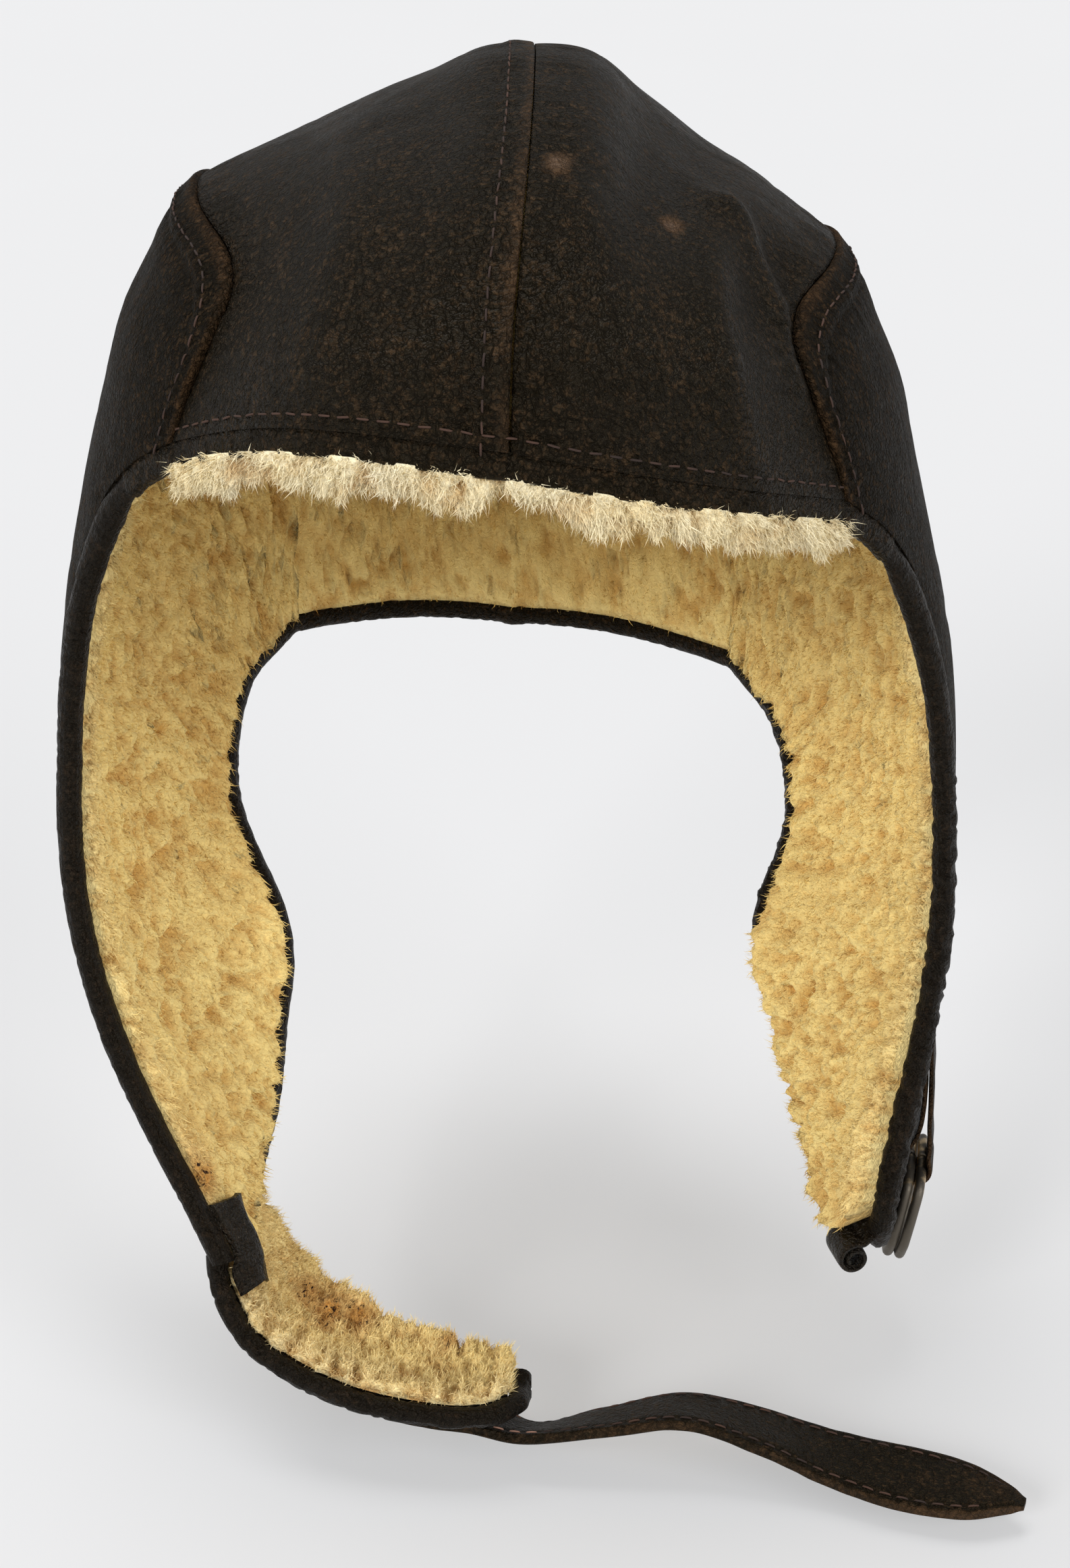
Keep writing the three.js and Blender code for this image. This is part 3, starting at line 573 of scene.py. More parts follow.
class Value:
    """A socket that takes part in Python expressions, each of which adds a Math node"""

    def __init__(self, shader, socket):
        self.shader = shader
        self.socket = socket

    def math(self, operation, *others):
        return self.shader.math(operation, self, *others)

    def __add__(self, other):
        return self.math("ADD", other)

    def __radd__(self, other):
        return self.math("ADD", other)

    def __sub__(self, other):
        return self.math("SUBTRACT", other)

    def __rsub__(self, other):
        return self.shader.math("SUBTRACT", other, self)

    def __mul__(self, other):
        return self.math("MULTIPLY", other)

    def __rmul__(self, other):
        return self.math("MULTIPLY", other)

    def __pow__(self, other):
        return self.math("POWER", other)

    def clamped(self):
        return self.math("MINIMUM", 1).math("MAXIMUM", 0)

    def step(self, low, high):
        """0 below low, 1 above high, smooth between"""
        settings = {"interpolation_type": "SMOOTHSTEP"}
        return Value(self.shader, self.shader.node("ShaderNodeMapRange", settings, [self, low, high, 0, 1]))


class Shader:
    """A material whose nodes are added one by one"""

    def __init__(self, name):
        self.material = bpy.data.materials.new(name)
        self.material.use_nodes = True
        self.nodes = self.material.node_tree.nodes
        self.links = self.material.node_tree.links
        self.surface = self.nodes["Principled BSDF"]

    def put(self, socket, value):
        if isinstance(value, Value):
            self.links.new(value.socket, socket)
        elif isinstance(value, bpy.types.NodeSocket):
            self.links.new(value, socket)
        else:
            socket.default_value = value

    def node(self, kind, settings=None, inputs=(), output=0):
        """Adds a node with its settings and inputs, and gives back one of its outputs"""
        node = self.nodes.new(kind)
        for key, value in (settings or {}).items():
            setattr(node, key, value)
        pairs = inputs.items() if isinstance(inputs, dict) else enumerate(inputs)
        for key, value in pairs:
            self.put(node.inputs[key], value)
        return node.outputs[output]

    def math(self, operation, *inputs):
        return Value(self, self.node("ShaderNodeMath", {"operation": operation}, inputs))

    def place(self):
        """Where a point lies on the object, in metres"""
        return self.node("ShaderNodeTexCoord", output="Object")

    def attribute(self, name):
        return Value(self, self.node("ShaderNodeAttribute", {"attribute_name": name}, output="Fac"))

    def noise(self, scale, detail=3, roughness=0.55, distortion=0, place=None):
        inputs = {
            "Vector": place or self.place(),
            "Scale": scale,
            "Detail": detail,
            "Roughness": roughness,
            "Distortion": distortion,
        }
        return Value(self, self.node("ShaderNodeTexNoise", inputs=inputs))

    def cells(self, scale, place, feature="F1"):
        inputs = {"Vector": place, "Scale": scale}
        return Value(self, self.node("ShaderNodeTexVoronoi", {"feature": feature}, inputs, "Distance"))

    def mix(self, share, first, second):
        """A colour between two others"""
        inputs = {0: share, 6: colour4(first), 7: colour4(second)}
        return self.node("ShaderNodeMix", {"data_type": "RGBA"}, inputs, output=2)

    def bump(self, height, distance, strength):
        inputs = {"Strength": strength, "Distance": distance, "Height": height}
        return self.node("ShaderNodeBump", inputs=inputs)

    def finish(self, **sockets):
        for name, value in sockets.items():
            self.put(self.surface.inputs[name.replace("_", " ").title().replace("Ior", "IOR")], value)
        return self.material


def colour4(value):
    return (*value, 1.0) if isinstance(value, (tuple, list)) and len(value) == 3 else value


def times(colour, share):
    return tuple(share * part for part in colour)


STAIN = (0.52, 0.2, 0.015)
SPECKS = (0.035, 0.014, 0.006)
BARE_BRASS = (0.6, 0.44, 0.24)
PALE_FLOOR = (0.34, 0.34, 0.345)


def leather_finish(name, dark, worn, crackle=1.0, gloss=0.4, shine=0.13, wear_from=0.5):
    """Old hide: pebbled grain, fine crack lines darkened with painted shade, specks of brown, and paler where
    its wear value is high: rubbed places, and a painted highlight on one fold
    """
    shader = Shader(name)
    place = shader.place()
    swirl = shader.node("ShaderNodeTexNoise", None, {"Vector": place, "Scale": 300, "Detail": 3}, "Color")
    shift = shader.node("ShaderNodeVectorMath", {"operation": "SCALE"}, {0: swirl, "Scale": 0.0052})
    warped = shader.node("ShaderNodeVectorMath", {"operation": "ADD"}, [place, shift])
    pebbles = shader.cells(820, warped)
    creases = shader.cells(480, warped, "DISTANCE_TO_EDGE")
    fine = shader.noise(2100, 2, 0.65, place=place)
    flecks = shader.noise(640, 3, 0.7, place=place)
    patches = shader.noise(42, 4, 0.62, place=place)
    mottle = shader.noise(150, 4, 0.65, place=place)
    cracked = creases.step(0.0, 0.12) * patches.step(0.2, 0.45)
    height = (1 - pebbles) * 0.7 + cracked * (0.45 * crackle) + fine * 0.3 + flecks * 0.9 + mottle * 0.8
    wear = shader.attribute("wear")
    uneven = wear + (patches - 0.5) * 0.6 * wear.step(0.02, 0.4) + (flecks - 0.5) * 0.5
    rubbed = uneven.step(wear_from - 0.16, wear_from + 0.32)
    brown = tuple(d * 1.6 + w * 0.34 for d, w in zip(dark, worn))
    specks = (mottle - 0.5) * 0.6 + (flecks - 0.5) * 1.7 + (patches - 0.5) * 0.25 + 0.46
    cloudy = shader.mix(specks.step(0.42, 0.85), dark, brown)
    # Painted shade: the crack lines are darkened in colour to stand in for the shade inside them
    crack_shade = shader.mix((1 - creases.step(0.0, 0.09)) * (0.4 * crackle), cloudy, times(dark, 0.3))
    colour = shader.mix(rubbed * (0.3 + fine * 0.9).clamped(), crack_shade, worn)
    scuffs = wear.step(0.62, 1.0) * flecks.step(0.35, 0.6)
    scuffed = shader.mix(scuffs, colour, tuple(1.1 * w + 0.03 for w in worn))
    roughness = gloss + (patches - 0.5) * 0.25 + (flecks - 0.5) * 0.35 + rubbed * 0.15
    return shader.finish(
        base_color=scuffed,
        roughness=roughness.clamped(),
        normal=shader.bump(height, 0.0013, 1.0),
        specular_ior_level=shine,
        specular_tint=(1.0, 0.86, 0.66, 1.0),
    )


def fleece_finish(name, light, depth_shade, cream):
    """Curly pile: pale at its tips and golden in its depths, partly its own tone and partly painted shade
    between the locks; soiled where it has been handled
    """
    shader = Shader(name)
    place = shader.place()
    depth = shader.attribute("depth")
    tint = shader.attribute("tint")
    soil = shader.attribute("soil")
    bleach = shader.attribute("bleach")
    broad = shader.noise(26, 3, 0.6, place=place)
    curls = shader.noise(430, 2, 0.55, 1.4, place=place)
    fine = shader.noise(900, 3, 0.65, 1.8, place=place)
    speck = shader.noise(720, 1, 0.5, place=place)
    # Painted shade, partly the pile's own tone: the lower the depth value, the nearer the colour comes to the
    # darker colour of the hollows
    tips = (depth + (curls - 0.5) * 0.6 + (fine - 0.5) * 0.5).step(0.0, 0.75)
    pile = shader.mix(tips, depth_shade, light)
    warm = tuple(a * 0.62 + b * 0.38 for a, b in zip(light, depth_shade))
    golden = shader.mix((broad.step(0.42, 0.72) * 0.45 + tint * 0.25) * (1 - bleach * 0.8), pile, warm)
    creamy = shader.mix((bleach * (0.35 + tips * 0.65)).clamped(), golden, cream)
    soiled = shader.mix((soil * (0.5 + curls * 0.9)).clamped(), creamy, STAIN)
    specked = soil.step(0.25, 0.6) * speck.step(0.6, 0.66)
    return shader.finish(
        base_color=shader.mix(specked.clamped(), soiled, SPECKS),
        roughness=0.95,
        normal=shader.bump(curls + fine * 0.8, 0.0009, 0.9),
        sheen_weight=0.06,
        sheen_roughness=0.6,
        specular_ior_level=0.05,
    )


def thread_finish(name, colour):
    shader = Shader(name)
    place = shader.place()
    twist = shader.noise(3800, 2, 0.5, place=place)
    faded = shader.noise(60, 2, 0.5, place=place)
    tone = shader.mix(faded.step(0.35, 0.6), colour, times(colour, 0.35))
    bleached = shader.mix(faded.step(0.64, 0.7), tone, tuple(c * 4 + 0.05 for c in colour))
    return shader.finish(base_color=bleached, roughness=0.85, normal=shader.bump(twist, 0.0002, 0.6))


def metal_finish(name, tarnish, bright):
    shader = Shader(name)
    place = shader.place()
    patches = shader.noise(240, 4, 0.6, place=place)
    fine = shader.noise(1500, 3, 0.6, place=place)
    wear = shader.attribute("wear")
    worn = (wear * 0.6 + (patches - 0.5) * 1.3).step(0.42, 0.72)
    return shader.finish(
        base_color=shader.mix(worn, tarnish, bright),
        metallic=0.9,
        roughness=(0.52 - worn * 0.2 + (fine - 0.5) * 0.3).clamped(),
        normal=shader.bump(fine + patches * 0.6, 0.00015, 0.5),
    )


def plain_finish(name, colour, roughness, glow):
    """A plain surface with a faint glow of its own, so shadows on it stay pale"""
    shader = Shader(name)
    tone = shader.noise(3, 2, 0.5)
    return shader.finish(
        base_color=shader.mix(tone, colour, times(colour, 0.97)),
        roughness=roughness,
        emission_color=(1, 1, 1, 1),
        emission_strength=glow,
    )


# Settings that a user would change

COLOUR = {"subtype": "COLOR", "min": 0, "max": 1}


class HelmetColours(bpy.types.PropertyGroup):
    """Colours of the helmet's leather, pile, thread and metal"""

    hide: FloatVectorProperty(
        name="Hide",
        description="The leather where it isn't rubbed",
        default=(0.0066, 0.0046, 0.0021),
        **COLOUR,
    )
    rubbed: FloatVectorProperty(
        name="Rubbed hide",
        description="The leather's brown where it is worn",
        default=(0.085, 0.045, 0.021),
        **COLOUR,
    )
    rim: FloatVectorProperty(
        name="Rim",
        description="The padded rims' darker leather",
        default=(0.0048, 0.0036, 0.0026),
        **COLOUR,
    )
    pile: FloatVectorProperty(
        name="Pile tips",
        description="The fleece at its surface",
        default=(0.98, 0.76, 0.3),
        **COLOUR,
    )
    # Colour of the pile between its locks: partly its own tone, partly painted shade in those hollows
    pile_depth_shade: FloatVectorProperty(
        name="Pile depths",
        description="The fleece between its locks",
        default=(0.68, 0.39, 0.1),
        **COLOUR,
    )
    pile_pale: FloatVectorProperty(
        name="Bleached pile",
        description="The fleece at the brow, and in part on the chin band",
        default=(0.98, 0.89, 0.66),
        **COLOUR,
    )
    thread: FloatVectorProperty(
        name="Thread",
        description="Seam thread",
        default=(0.05, 0.021, 0.011),
        **COLOUR,
    )
    metal: FloatVectorProperty(
        name="Metal",
        description="Tarnish on the rings",
        default=(0.125, 0.108, 0.085),
        **COLOUR,
    )


class HelmetSizes(bpy.types.PropertyGroup):
    """Sizes of the finer work"""

    tuft: FloatProperty(
        name="Tuft length",
        description="Length of the pile's loose tufts",
        subtype="DISTANCE",
        default=0.003,
        min=0.001,
        max=0.02,
    )
    tuft_width: FloatProperty(
        name="Tuft width",
        description="Width of a tuft at its root",
        subtype="DISTANCE",
        default=0.00024,
        min=0.0001,
        max=0.005,
    )
    clump: FloatProperty(
        name="Clump size",
        description="From one clump of pile to the next",
        subtype="DISTANCE",
        default=0.0064,
        min=0.001,
        max=0.03,
    )
    stitch: FloatProperty(
        name="Stitch length",
        description="Length of one stitch",
        subtype="DISTANCE",
        default=0.0031,
        min=0.0005,
        max=0.01,
    )
    thread: FloatProperty(
        name="Thread radius",
        description="Radius of the seam thread",
        subtype="DISTANCE",
        default=0.00027,
        min=0.0001,
        max=0.002,
    )


def colours():
    return bpy.context.scene.helmet_colours


def sizes():
    return bpy.context.scene.helmet_sizes


FINISHES = {}


def finish_of(name):
    """The material of that name, made when it is first asked for"""
    if name not in FINISHES:
        c = colours()
        hide, rubbed, rim = tuple(c.hide), tuple(c.rubbed), tuple(c.rim)
        dull = times(rubbed, 0.35)
        makers = {
            "hide": lambda: leather_finish("Old hide", hide, rubbed),
            "ear": lambda: leather_finish("Ear hide", hide, rubbed, 1.4, 0.55, shine=0.06, wear_from=0.42),
            "rim": lambda: leather_finish("Rim hide", rim, dull, 0.3, 0.42),
            "strap": lambda: leather_finish("Strap hide", times(hide, 1.1), times(rubbed, 0.8), 0.7, 0.5),
            "lace": lambda: leather_finish("Tab hide", rim, dull, 0.3, 0.26, shine=0.2),
            "fleece": lambda: fleece_finish("Pile", tuple(c.pile), tuple(c.pile_depth_shade), tuple(c.pile_pale)),
            "thread": lambda: thread_finish("Seam thread", tuple(c.thread)),
            "metal": lambda: metal_finish("Old brass", tuple(c.metal), BARE_BRASS),
            "floor": lambda: plain_finish("Pale floor", PALE_FLOOR, roughness=0.9, glow=0.36),
        }
        FINISHES[name] = makers[name]()
    return FINISHES[name]


def placed(obj, slot, *nodes, body="helmet"):
    """The piece rides on its body and stands for its solids; slot is not used"""
    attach(obj, body)
    if nodes:
        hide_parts(*nodes)
    return obj


# Leather panels

# Distances of the closer columns from a seam
NEAR_SEAM = np.array([0.17, 0.5, 1, 1.8, 2.8, 3.9, 5, 6, 7, 8, 9.2, 10.6])


def seam_columns(width, columns):
    """Columns across a panel, close together at its first seam, in shares of its width"""
    near = NEAR_SEAM[None, :] / width[:, None]
    rest = np.linspace(0, 1, columns)[None, 1:]
    last = 1 - NEAR_SEAM[0] / width[:, None]
    return np.concatenate([near, near[:, -1:] + (last - near[:, -1:]) * rest], axis=1)


def folded(far):
    """Height of a folded seam edge at distances from it: rounded over, then down to the panel"""
    edge = np.sqrt(1 - (1 - np.clip(far / 1.3, 0, 1)) ** 2)
    return 0.8 * FOLDED_EDGE * edge * (1 - ease((far - 5.4) / 3))


def puckers(far, run, seed):
    """Small gathers that the stitches pull into the leather beside a seam"""
    spread = cloud(stack(run, 0, 0), 9, seed)
    wave = np.sin(2 * math.pi * (run / 5.6 + 0.45 * spread))
    return 0.22 * wave * bell(far, 6, 6.5) * (0.4 + 0.6 * (spread > -0.2))


def wrinkles(points, seed):
    """Soft dents and fine creases of old leather"""
    bent = points + 5 * drift(points, 22, seed)
    crease = veins(bent, 26, seed + 4, 3.2) ** 2
    where = ease(cloud(points, 55, seed + 5) * 1.4)
    small = veins(bent, 9, seed + 7, 3) ** 2
    dents = 0.55 * cloud(points, 38, seed) + 0.16 * cloud(points, 12, seed + 6)
    return dents - 0.45 * crease * where - 0.12 * small


# Rubbed places of the crown: side, along, across, size, strength
SCUFFS = (
    (RIGHT, 0.31, 0.075, 0.018, 0.78),
    (RIGHT, 0.29, 0.46, 0.015, 0.88),
)

# The two ends of the long fold on the right crown panel, and a hollow beside it: along, across
LONG_FOLD = ((0.36, 0.6), (0.13, 1.0))
HOLLOW = (0.3, 0.88)


def crown_surface(side):
    """The outer and inner grid of a crown panel, and its wear value: how rubbed it is, with a painted
    highlight along the right panel's fold
    """
    along = np.linspace(0, 1, 150)[:, None]
    ridge, seam = (crown_point(side, along[:, 0], np.full(len(along), share)) for share in (0.0, 1.0))
    width = length_of(seam - ridge)
    across = seam_columns(width, 58)
    along = np.broadcast_to(along, across.shape)
    points = crown_point(side, along, across)
    out = -inward(points)
    far = across * width[:, None]
    other = (1 - across) * width[:, None]
    run = along_path(points[:, 0])[:, None] + np.zeros_like(across)
    relief = 1.3 * wrinkles(points, 20 + side) + puckers(far, run, 3) + puckers(other, run, 5)
    relief = relief - 0.5 * np.exp(-other / 3)
    wear = 0.06 + 0.12 * np.exp(-far / 25)
    top = ease((along - 0.1) / 0.18) * ease((0.9 - along) / 0.2)
    if side == LEFT:
        relief = relief * ease(far / 5) + folded(far) * (1 - 0.5 * top) + 1.9 * bell(far, 13, 9) * top
        wear = wear + 0.34 * bell(far, 0.9, 3) + 0.16 * bell(far, 6, 2)
    else:
        swell = 3.9 * bell(far, 15, 12) - 1.5 * bell(far, 50, 11)
        start, end = crown_point(side, *np.array(LONG_FOLD).T)
        share = np.clip(dot(points - start, end - start) / dot(end - start, end - start), 0, 1)
        beside_fold = length_of(points - start - (end - start) * share)
        beside_hollow = length_of(points - crown_point(side, *np.array(HOLLOW)))
        fold = 2.7 * bell(beside_fold, 0, 5.5) - 2.4 * bell(beside_hollow, 0, 12)
        relief = relief - 0.5 * np.exp(-far / 2.5) + swell * top + fold * ease(other / 6)
        # Painted highlight: the wear value is raised along the fold's ridge so that a paler line shows there,
        # partly rubbing of the ridge
        wear = wear + 0.3 * bell(beside_fold, 0, 2.4)
    for scuff_side, scuff_along, scuff_across, size, strength in SCUFFS:
        if scuff_side == side:
            far_from = ((along - scuff_along) ** 2 + (0.35 * (across - scuff_across)) ** 2) / size**2
            wear = wear + strength * np.exp(-far_from * (1 + 0.8 * cloud(points, 5, 77)))
    relief = relief * (0.35 + 0.65 * ease(along / 0.03))
    return lean(points + scaled(out, relief)), lean(points - out * LEATHER), np.clip(wear, 0, 1)


def panel_columns(side, along, columns):
    """Columns down an ear panel, close together at its seam, and its length at the pace of its first tenth"""
    seam, below = (panel_point(side, along, np.full_like(along, down)) for down in (0, 0.1))
    pace = length_of(below - seam) / 0.1
    near = NEAR_SEAM[None, :] / pace[:, None]
    rest = np.linspace(0, 1, columns)[None, 1:]
    return np.concatenate([near, near[:, -1:] + (1 - near[:, -1:]) * rest], axis=1), pace


def panel_surface(side):
    """The outer and inner grid of an ear panel, and how rubbed it is"""
    along = np.linspace(0, 1, 130)
    down, pace = panel_columns(side, along, 100)
    along = np.broadcast_to(along[:, None], down.shape)
    points = panel_point(side, along, down)
    out = -inward(points)
    far = down * pace[:, None]
    run = along_path(points[:, 0])[:, None] + np.zeros_like(down)
    edges = np.minimum(np.minimum(along, 1 - along) * 12, 1)
    hanging = wrinkles(points * np.array([1, 1, 0.45]), 56 + side)
    creased = wrinkles(points, 50 + side) * 1.25 + 0.8 * hanging + puckers(far, run, 8)
    relief = (creased * ease(far / 6) + folded(far)) * (0.3 + 0.7 * ease(edges))
    wear = 0.06 + 0.26 * bell(far, 0.6, 2.2) + 0.12 * np.exp(-far / 30) + 0.15 * ease((down - 0.82) / 0.18)
    return lean(points + scaled(out, relief)), lean(points - out * LEATHER), np.clip(wear, 0, 1)


class HELMET_OT_crown(bpy.types.Operator):
    """Makes the two crown panels and the folded seam between them"""

    bl_idname = "helmet.crown"
    bl_label = "Crown panels"

    def execute(self, context):
        for side, name in NAMES.items():
            outer, inner, wear = crown_surface(side)
            obj = shell(f"crown_leather_{name}", outer, inner, finish_of("hide"), wear=wear)
            placed(obj, "hide", f"crown_panel_{name}")
        return {"FINISHED"}


class HELMET_OT_ear_panels(bpy.types.Operator):
    """Makes the two ear panels, which run down into the flaps"""

    bl_idname = "helmet.ear_panels"
    bl_label = "Ear panels"

    def execute(self, context):
        for side, name in NAMES.items():
            outer, inner, wear = panel_surface(side)
            obj = shell(f"ear_leather_{name}", outer, inner, finish_of("ear"), wear=wear)
            placed(obj, "hide", f"side_panel_{name}")
        return {"FINISHED"}


# Rims


def rim_stops(side, *parts):
    """Points round the helmet's lower edge, with the ways along it, out of the panel and off the wall"""
    pieces = []
    for part, start, end in parts:
        at = np.linspace(start, end, 80)
        if part in ("brow", "nape"):
            pieces.append(crown_point(side, np.full_like(at, 0.0 if part == "brow" else 1.0), at))
        elif part == "end":
            pieces.append(panel_point(side, at, np.ones_like(at)))
        else:
            pieces.append(panel_point(side, np.full_like(at, 0.0 if part == "face" else 1.0), at))
    path = np.concatenate([piece[(1 if i else 0) :] for i, piece in enumerate(pieces)])
    path = softened(resampled(path, 1.1)[0], 6)
    way = unit(np.gradient(path, axis=0))
    off = -inward(path)
    out = unit(np.cross(way, off)) * side
    off = unit(np.cross(out, way)) * side
    return path, way, out, off


def lengthened(stops, extra):
    """The same rim, that much longer at its last end"""
    path, way, out, off = stops
    longer = np.concatenate([path, path[-1:] + way[-1:] * (extra / 2), path[-1:] + way[-1:] * extra])
    return (longer, *(np.concatenate([part, part[-1:], part[-1:]]) for part in (way, out, off)))


# Where the hem gives way to the padded rim on an ear panel's edges
CORNER = 0.1

# The right flap's rim is more creased below this height
CREASED_BELOW = -120
FACE_PART = ("face", CORNER, 1)
REAR_PART = ("rear", 1, CORNER)


def rolled(stops, width, thickness, crease, seed, squareness=1.0):
    """Rings of a rolled edge, with creases across it; crease may change along it"""
    path, _, out, off = stops
    run = along_path(path)
    crease = np.broadcast_to(crease, run.shape)[:, None]
    width = np.broadcast_to(width, run.shape)
    centre = path + scaled(out, RIM_CLEARANCE - 1.3 + width / 2) - off * LEATHER
    rings = section(centre, out, off, width, thickness, 18, squareness)
    away = unit(rings - centre[:, None, :])
    outside = dot(away, out[:, None, :])[..., 0] * 0.8
    above = dot(away, off[:, None, :])[..., 0] * 0.8
    local = stack(run[:, None] / 2.3, outside, above)
    fold = veins(local, 1.0, seed, 2.4) ** 1.5
    swell = cloud(stack(run, 0, 0), 16, seed + 1)[:, None]
    depth = crease * (-fold + 0.35 * cloud(local * 2.1, 1.0, seed + 2)) + 0.3 * crease * swell
    taper = np.minimum(run, run[-1] - run)[:, None]
    depth = depth * ease(taper / 4)
    wear = 0.1 + 0.16 * (1 - fold) * (cloud(local * 0.6, 1.0, seed + 5) > 0) + 0.08 * swell
    return lean(rings + scaled(away, depth)), wear


class HELMET_OT_rims(bpy.types.Operator):
    """Makes the brow hem, the padded rims of the flaps and the binding over the nape"""

    bl_idname = "helmet.rims"
    bl_label = "Hem and rims"

    def execute(self, context):
        for side, name in NAMES.items():
            stops = rim_stops(side, ("brow", 0.0, 1), ("face", 0, CORNER))
            rings, wear = rolled(stops, HEM_WIDTH + 0.4, HEM_THICKNESS, 0.35, 60 + side, 0.55)
            obj = tube(f"brow_hem_leather_{name}", rings, finish_of("hide"), wear=wear * 0.8)
            placed(obj, "hide", f"brow_hem_{name}")
        padded = (
            ("face_rim_left", LEFT, (FACE_PART,), "face_binding_left"),
            ("rear_rim_left", LEFT, (REAR_PART,), "rear_binding_left"),
            ("edge_rim_right", RIGHT, (FACE_PART, ("end", 0, 1), REAR_PART), "edge_binding_right"),
        )
        for k, (name, side, parts, node) in enumerate(padded):
            stops = rim_stops(side, *parts)
            lower = ease((CREASED_BELOW - stops[0][:, 2]) / 60) if side == RIGHT else 0.0
            if node == "face_binding_left":
                stops = lengthened(stops, 1.5)
            run = along_path(stops[0])
            from_corner = run if parts[0] == FACE_PART else 99
            to_corner = run[-1] - run if parts[-1] == REAR_PART else 99
            slim = 1 - ease(np.minimum(from_corner, to_corner) / 16)
            width = RIM_WIDTH - (RIM_WIDTH - HEM_WIDTH) * slim
            thickness = RIM_THICKNESS - (RIM_THICKNESS - HEM_THICKNESS) * slim
            rings, wear = rolled(stops, width, thickness, 0.26 + 0.45 * lower, 70 + 10 * k)
            placed(tube(name, rings, finish_of("rim"), wear=wear), "rim", node)
        halves = []
        for side in (LEFT, RIGHT):
            stops = rim_stops(side, ("rear", CORNER, 0), ("nape", 1, 0))
            halves.append(rolled(stops, HEM_WIDTH, HEM_THICKNESS, 0.3, 65))
        rings = np.concatenate([halves[0][0], halves[1][0][-2::-1]])
        wear = np.concatenate([halves[0][1], halves[1][1][-2::-1]])
        placed(tube("neck_rim", rings, finish_of("hide"), wear=wear), "hide", "neck_binding")
        return {"FINISHED"}


# Fleece


def picked(grid, row, column, u, v):
    """Values inside the cells of a grid"""
    weights = ((0, 0, (1 - u) * (1 - v)), (1, 0, u * (1 - v)), (0, 1, (1 - u) * v), (1, 1, u * v))
    extra = (slice(None),) + (None,) * (grid.ndim - 2)
    return sum(grid[row + i, column + j] * weight[extra] for i, j, weight in weights)


def tuft_mesh(roots, ways, bend, length, width, **values):
    """Short tapered wisps of pile: points, faces and values"""
    count = len(roots)
    rng = np.random.default_rng(count)
    side = scaled(unit(np.cross(ways, rng.normal(size=(count, 3)))), width / 2)
    middle = roots + scaled(ways, 0.55 * length)
    tip = roots + scaled(ways, 0.9 * length) + scaled(bend, 0.55 * length)
    points = np.stack([roots - side, roots + side, middle - side * 0.8, middle + side * 0.8, tip], axis=1)
    start = (np.arange(count) * 5)[:, None]
    faces = [start + [0, 1, 3, 2], start + [2, 3, 4]]
    values = {name: np.repeat(value[:, None], 5, 1) for name, value in values.items()}
    # Wisps are darker at their roots and paler at their tips: partly the pile's own tone, partly painted
    # shade at the roots
    values["depth"] = values["depth"] + np.array([-0.05, -0.05, 0.08, 0.08, 0.2])
    return points, faces, values


def curly(points, size, seed, squeeze):
    """Height of curly pile: rounded clumps, worm-like curls on them and slow swells"""
    points = points * np.array(squeeze)
    far, centre, own = clump_of(points + 1.4 * drift(points, 5, seed), size, seed)
    bent = points + 1.5 * drift(points, 4, seed + 3)
    worms = 1 - 2.2 * np.abs(cloud(bent, 4.2, seed + 7))
    small = 1 - 2.2 * np.abs(cloud(bent, 2.3, seed + 8))
    height = 2.7 * (1 - np.clip(far, 0, 1) ** 1.6) + 1.6 * worms + 0.9 * small
    return height + 0.8 * cloud(points, 14, seed + 9) - 2.3, centre / np.array(squeeze), own


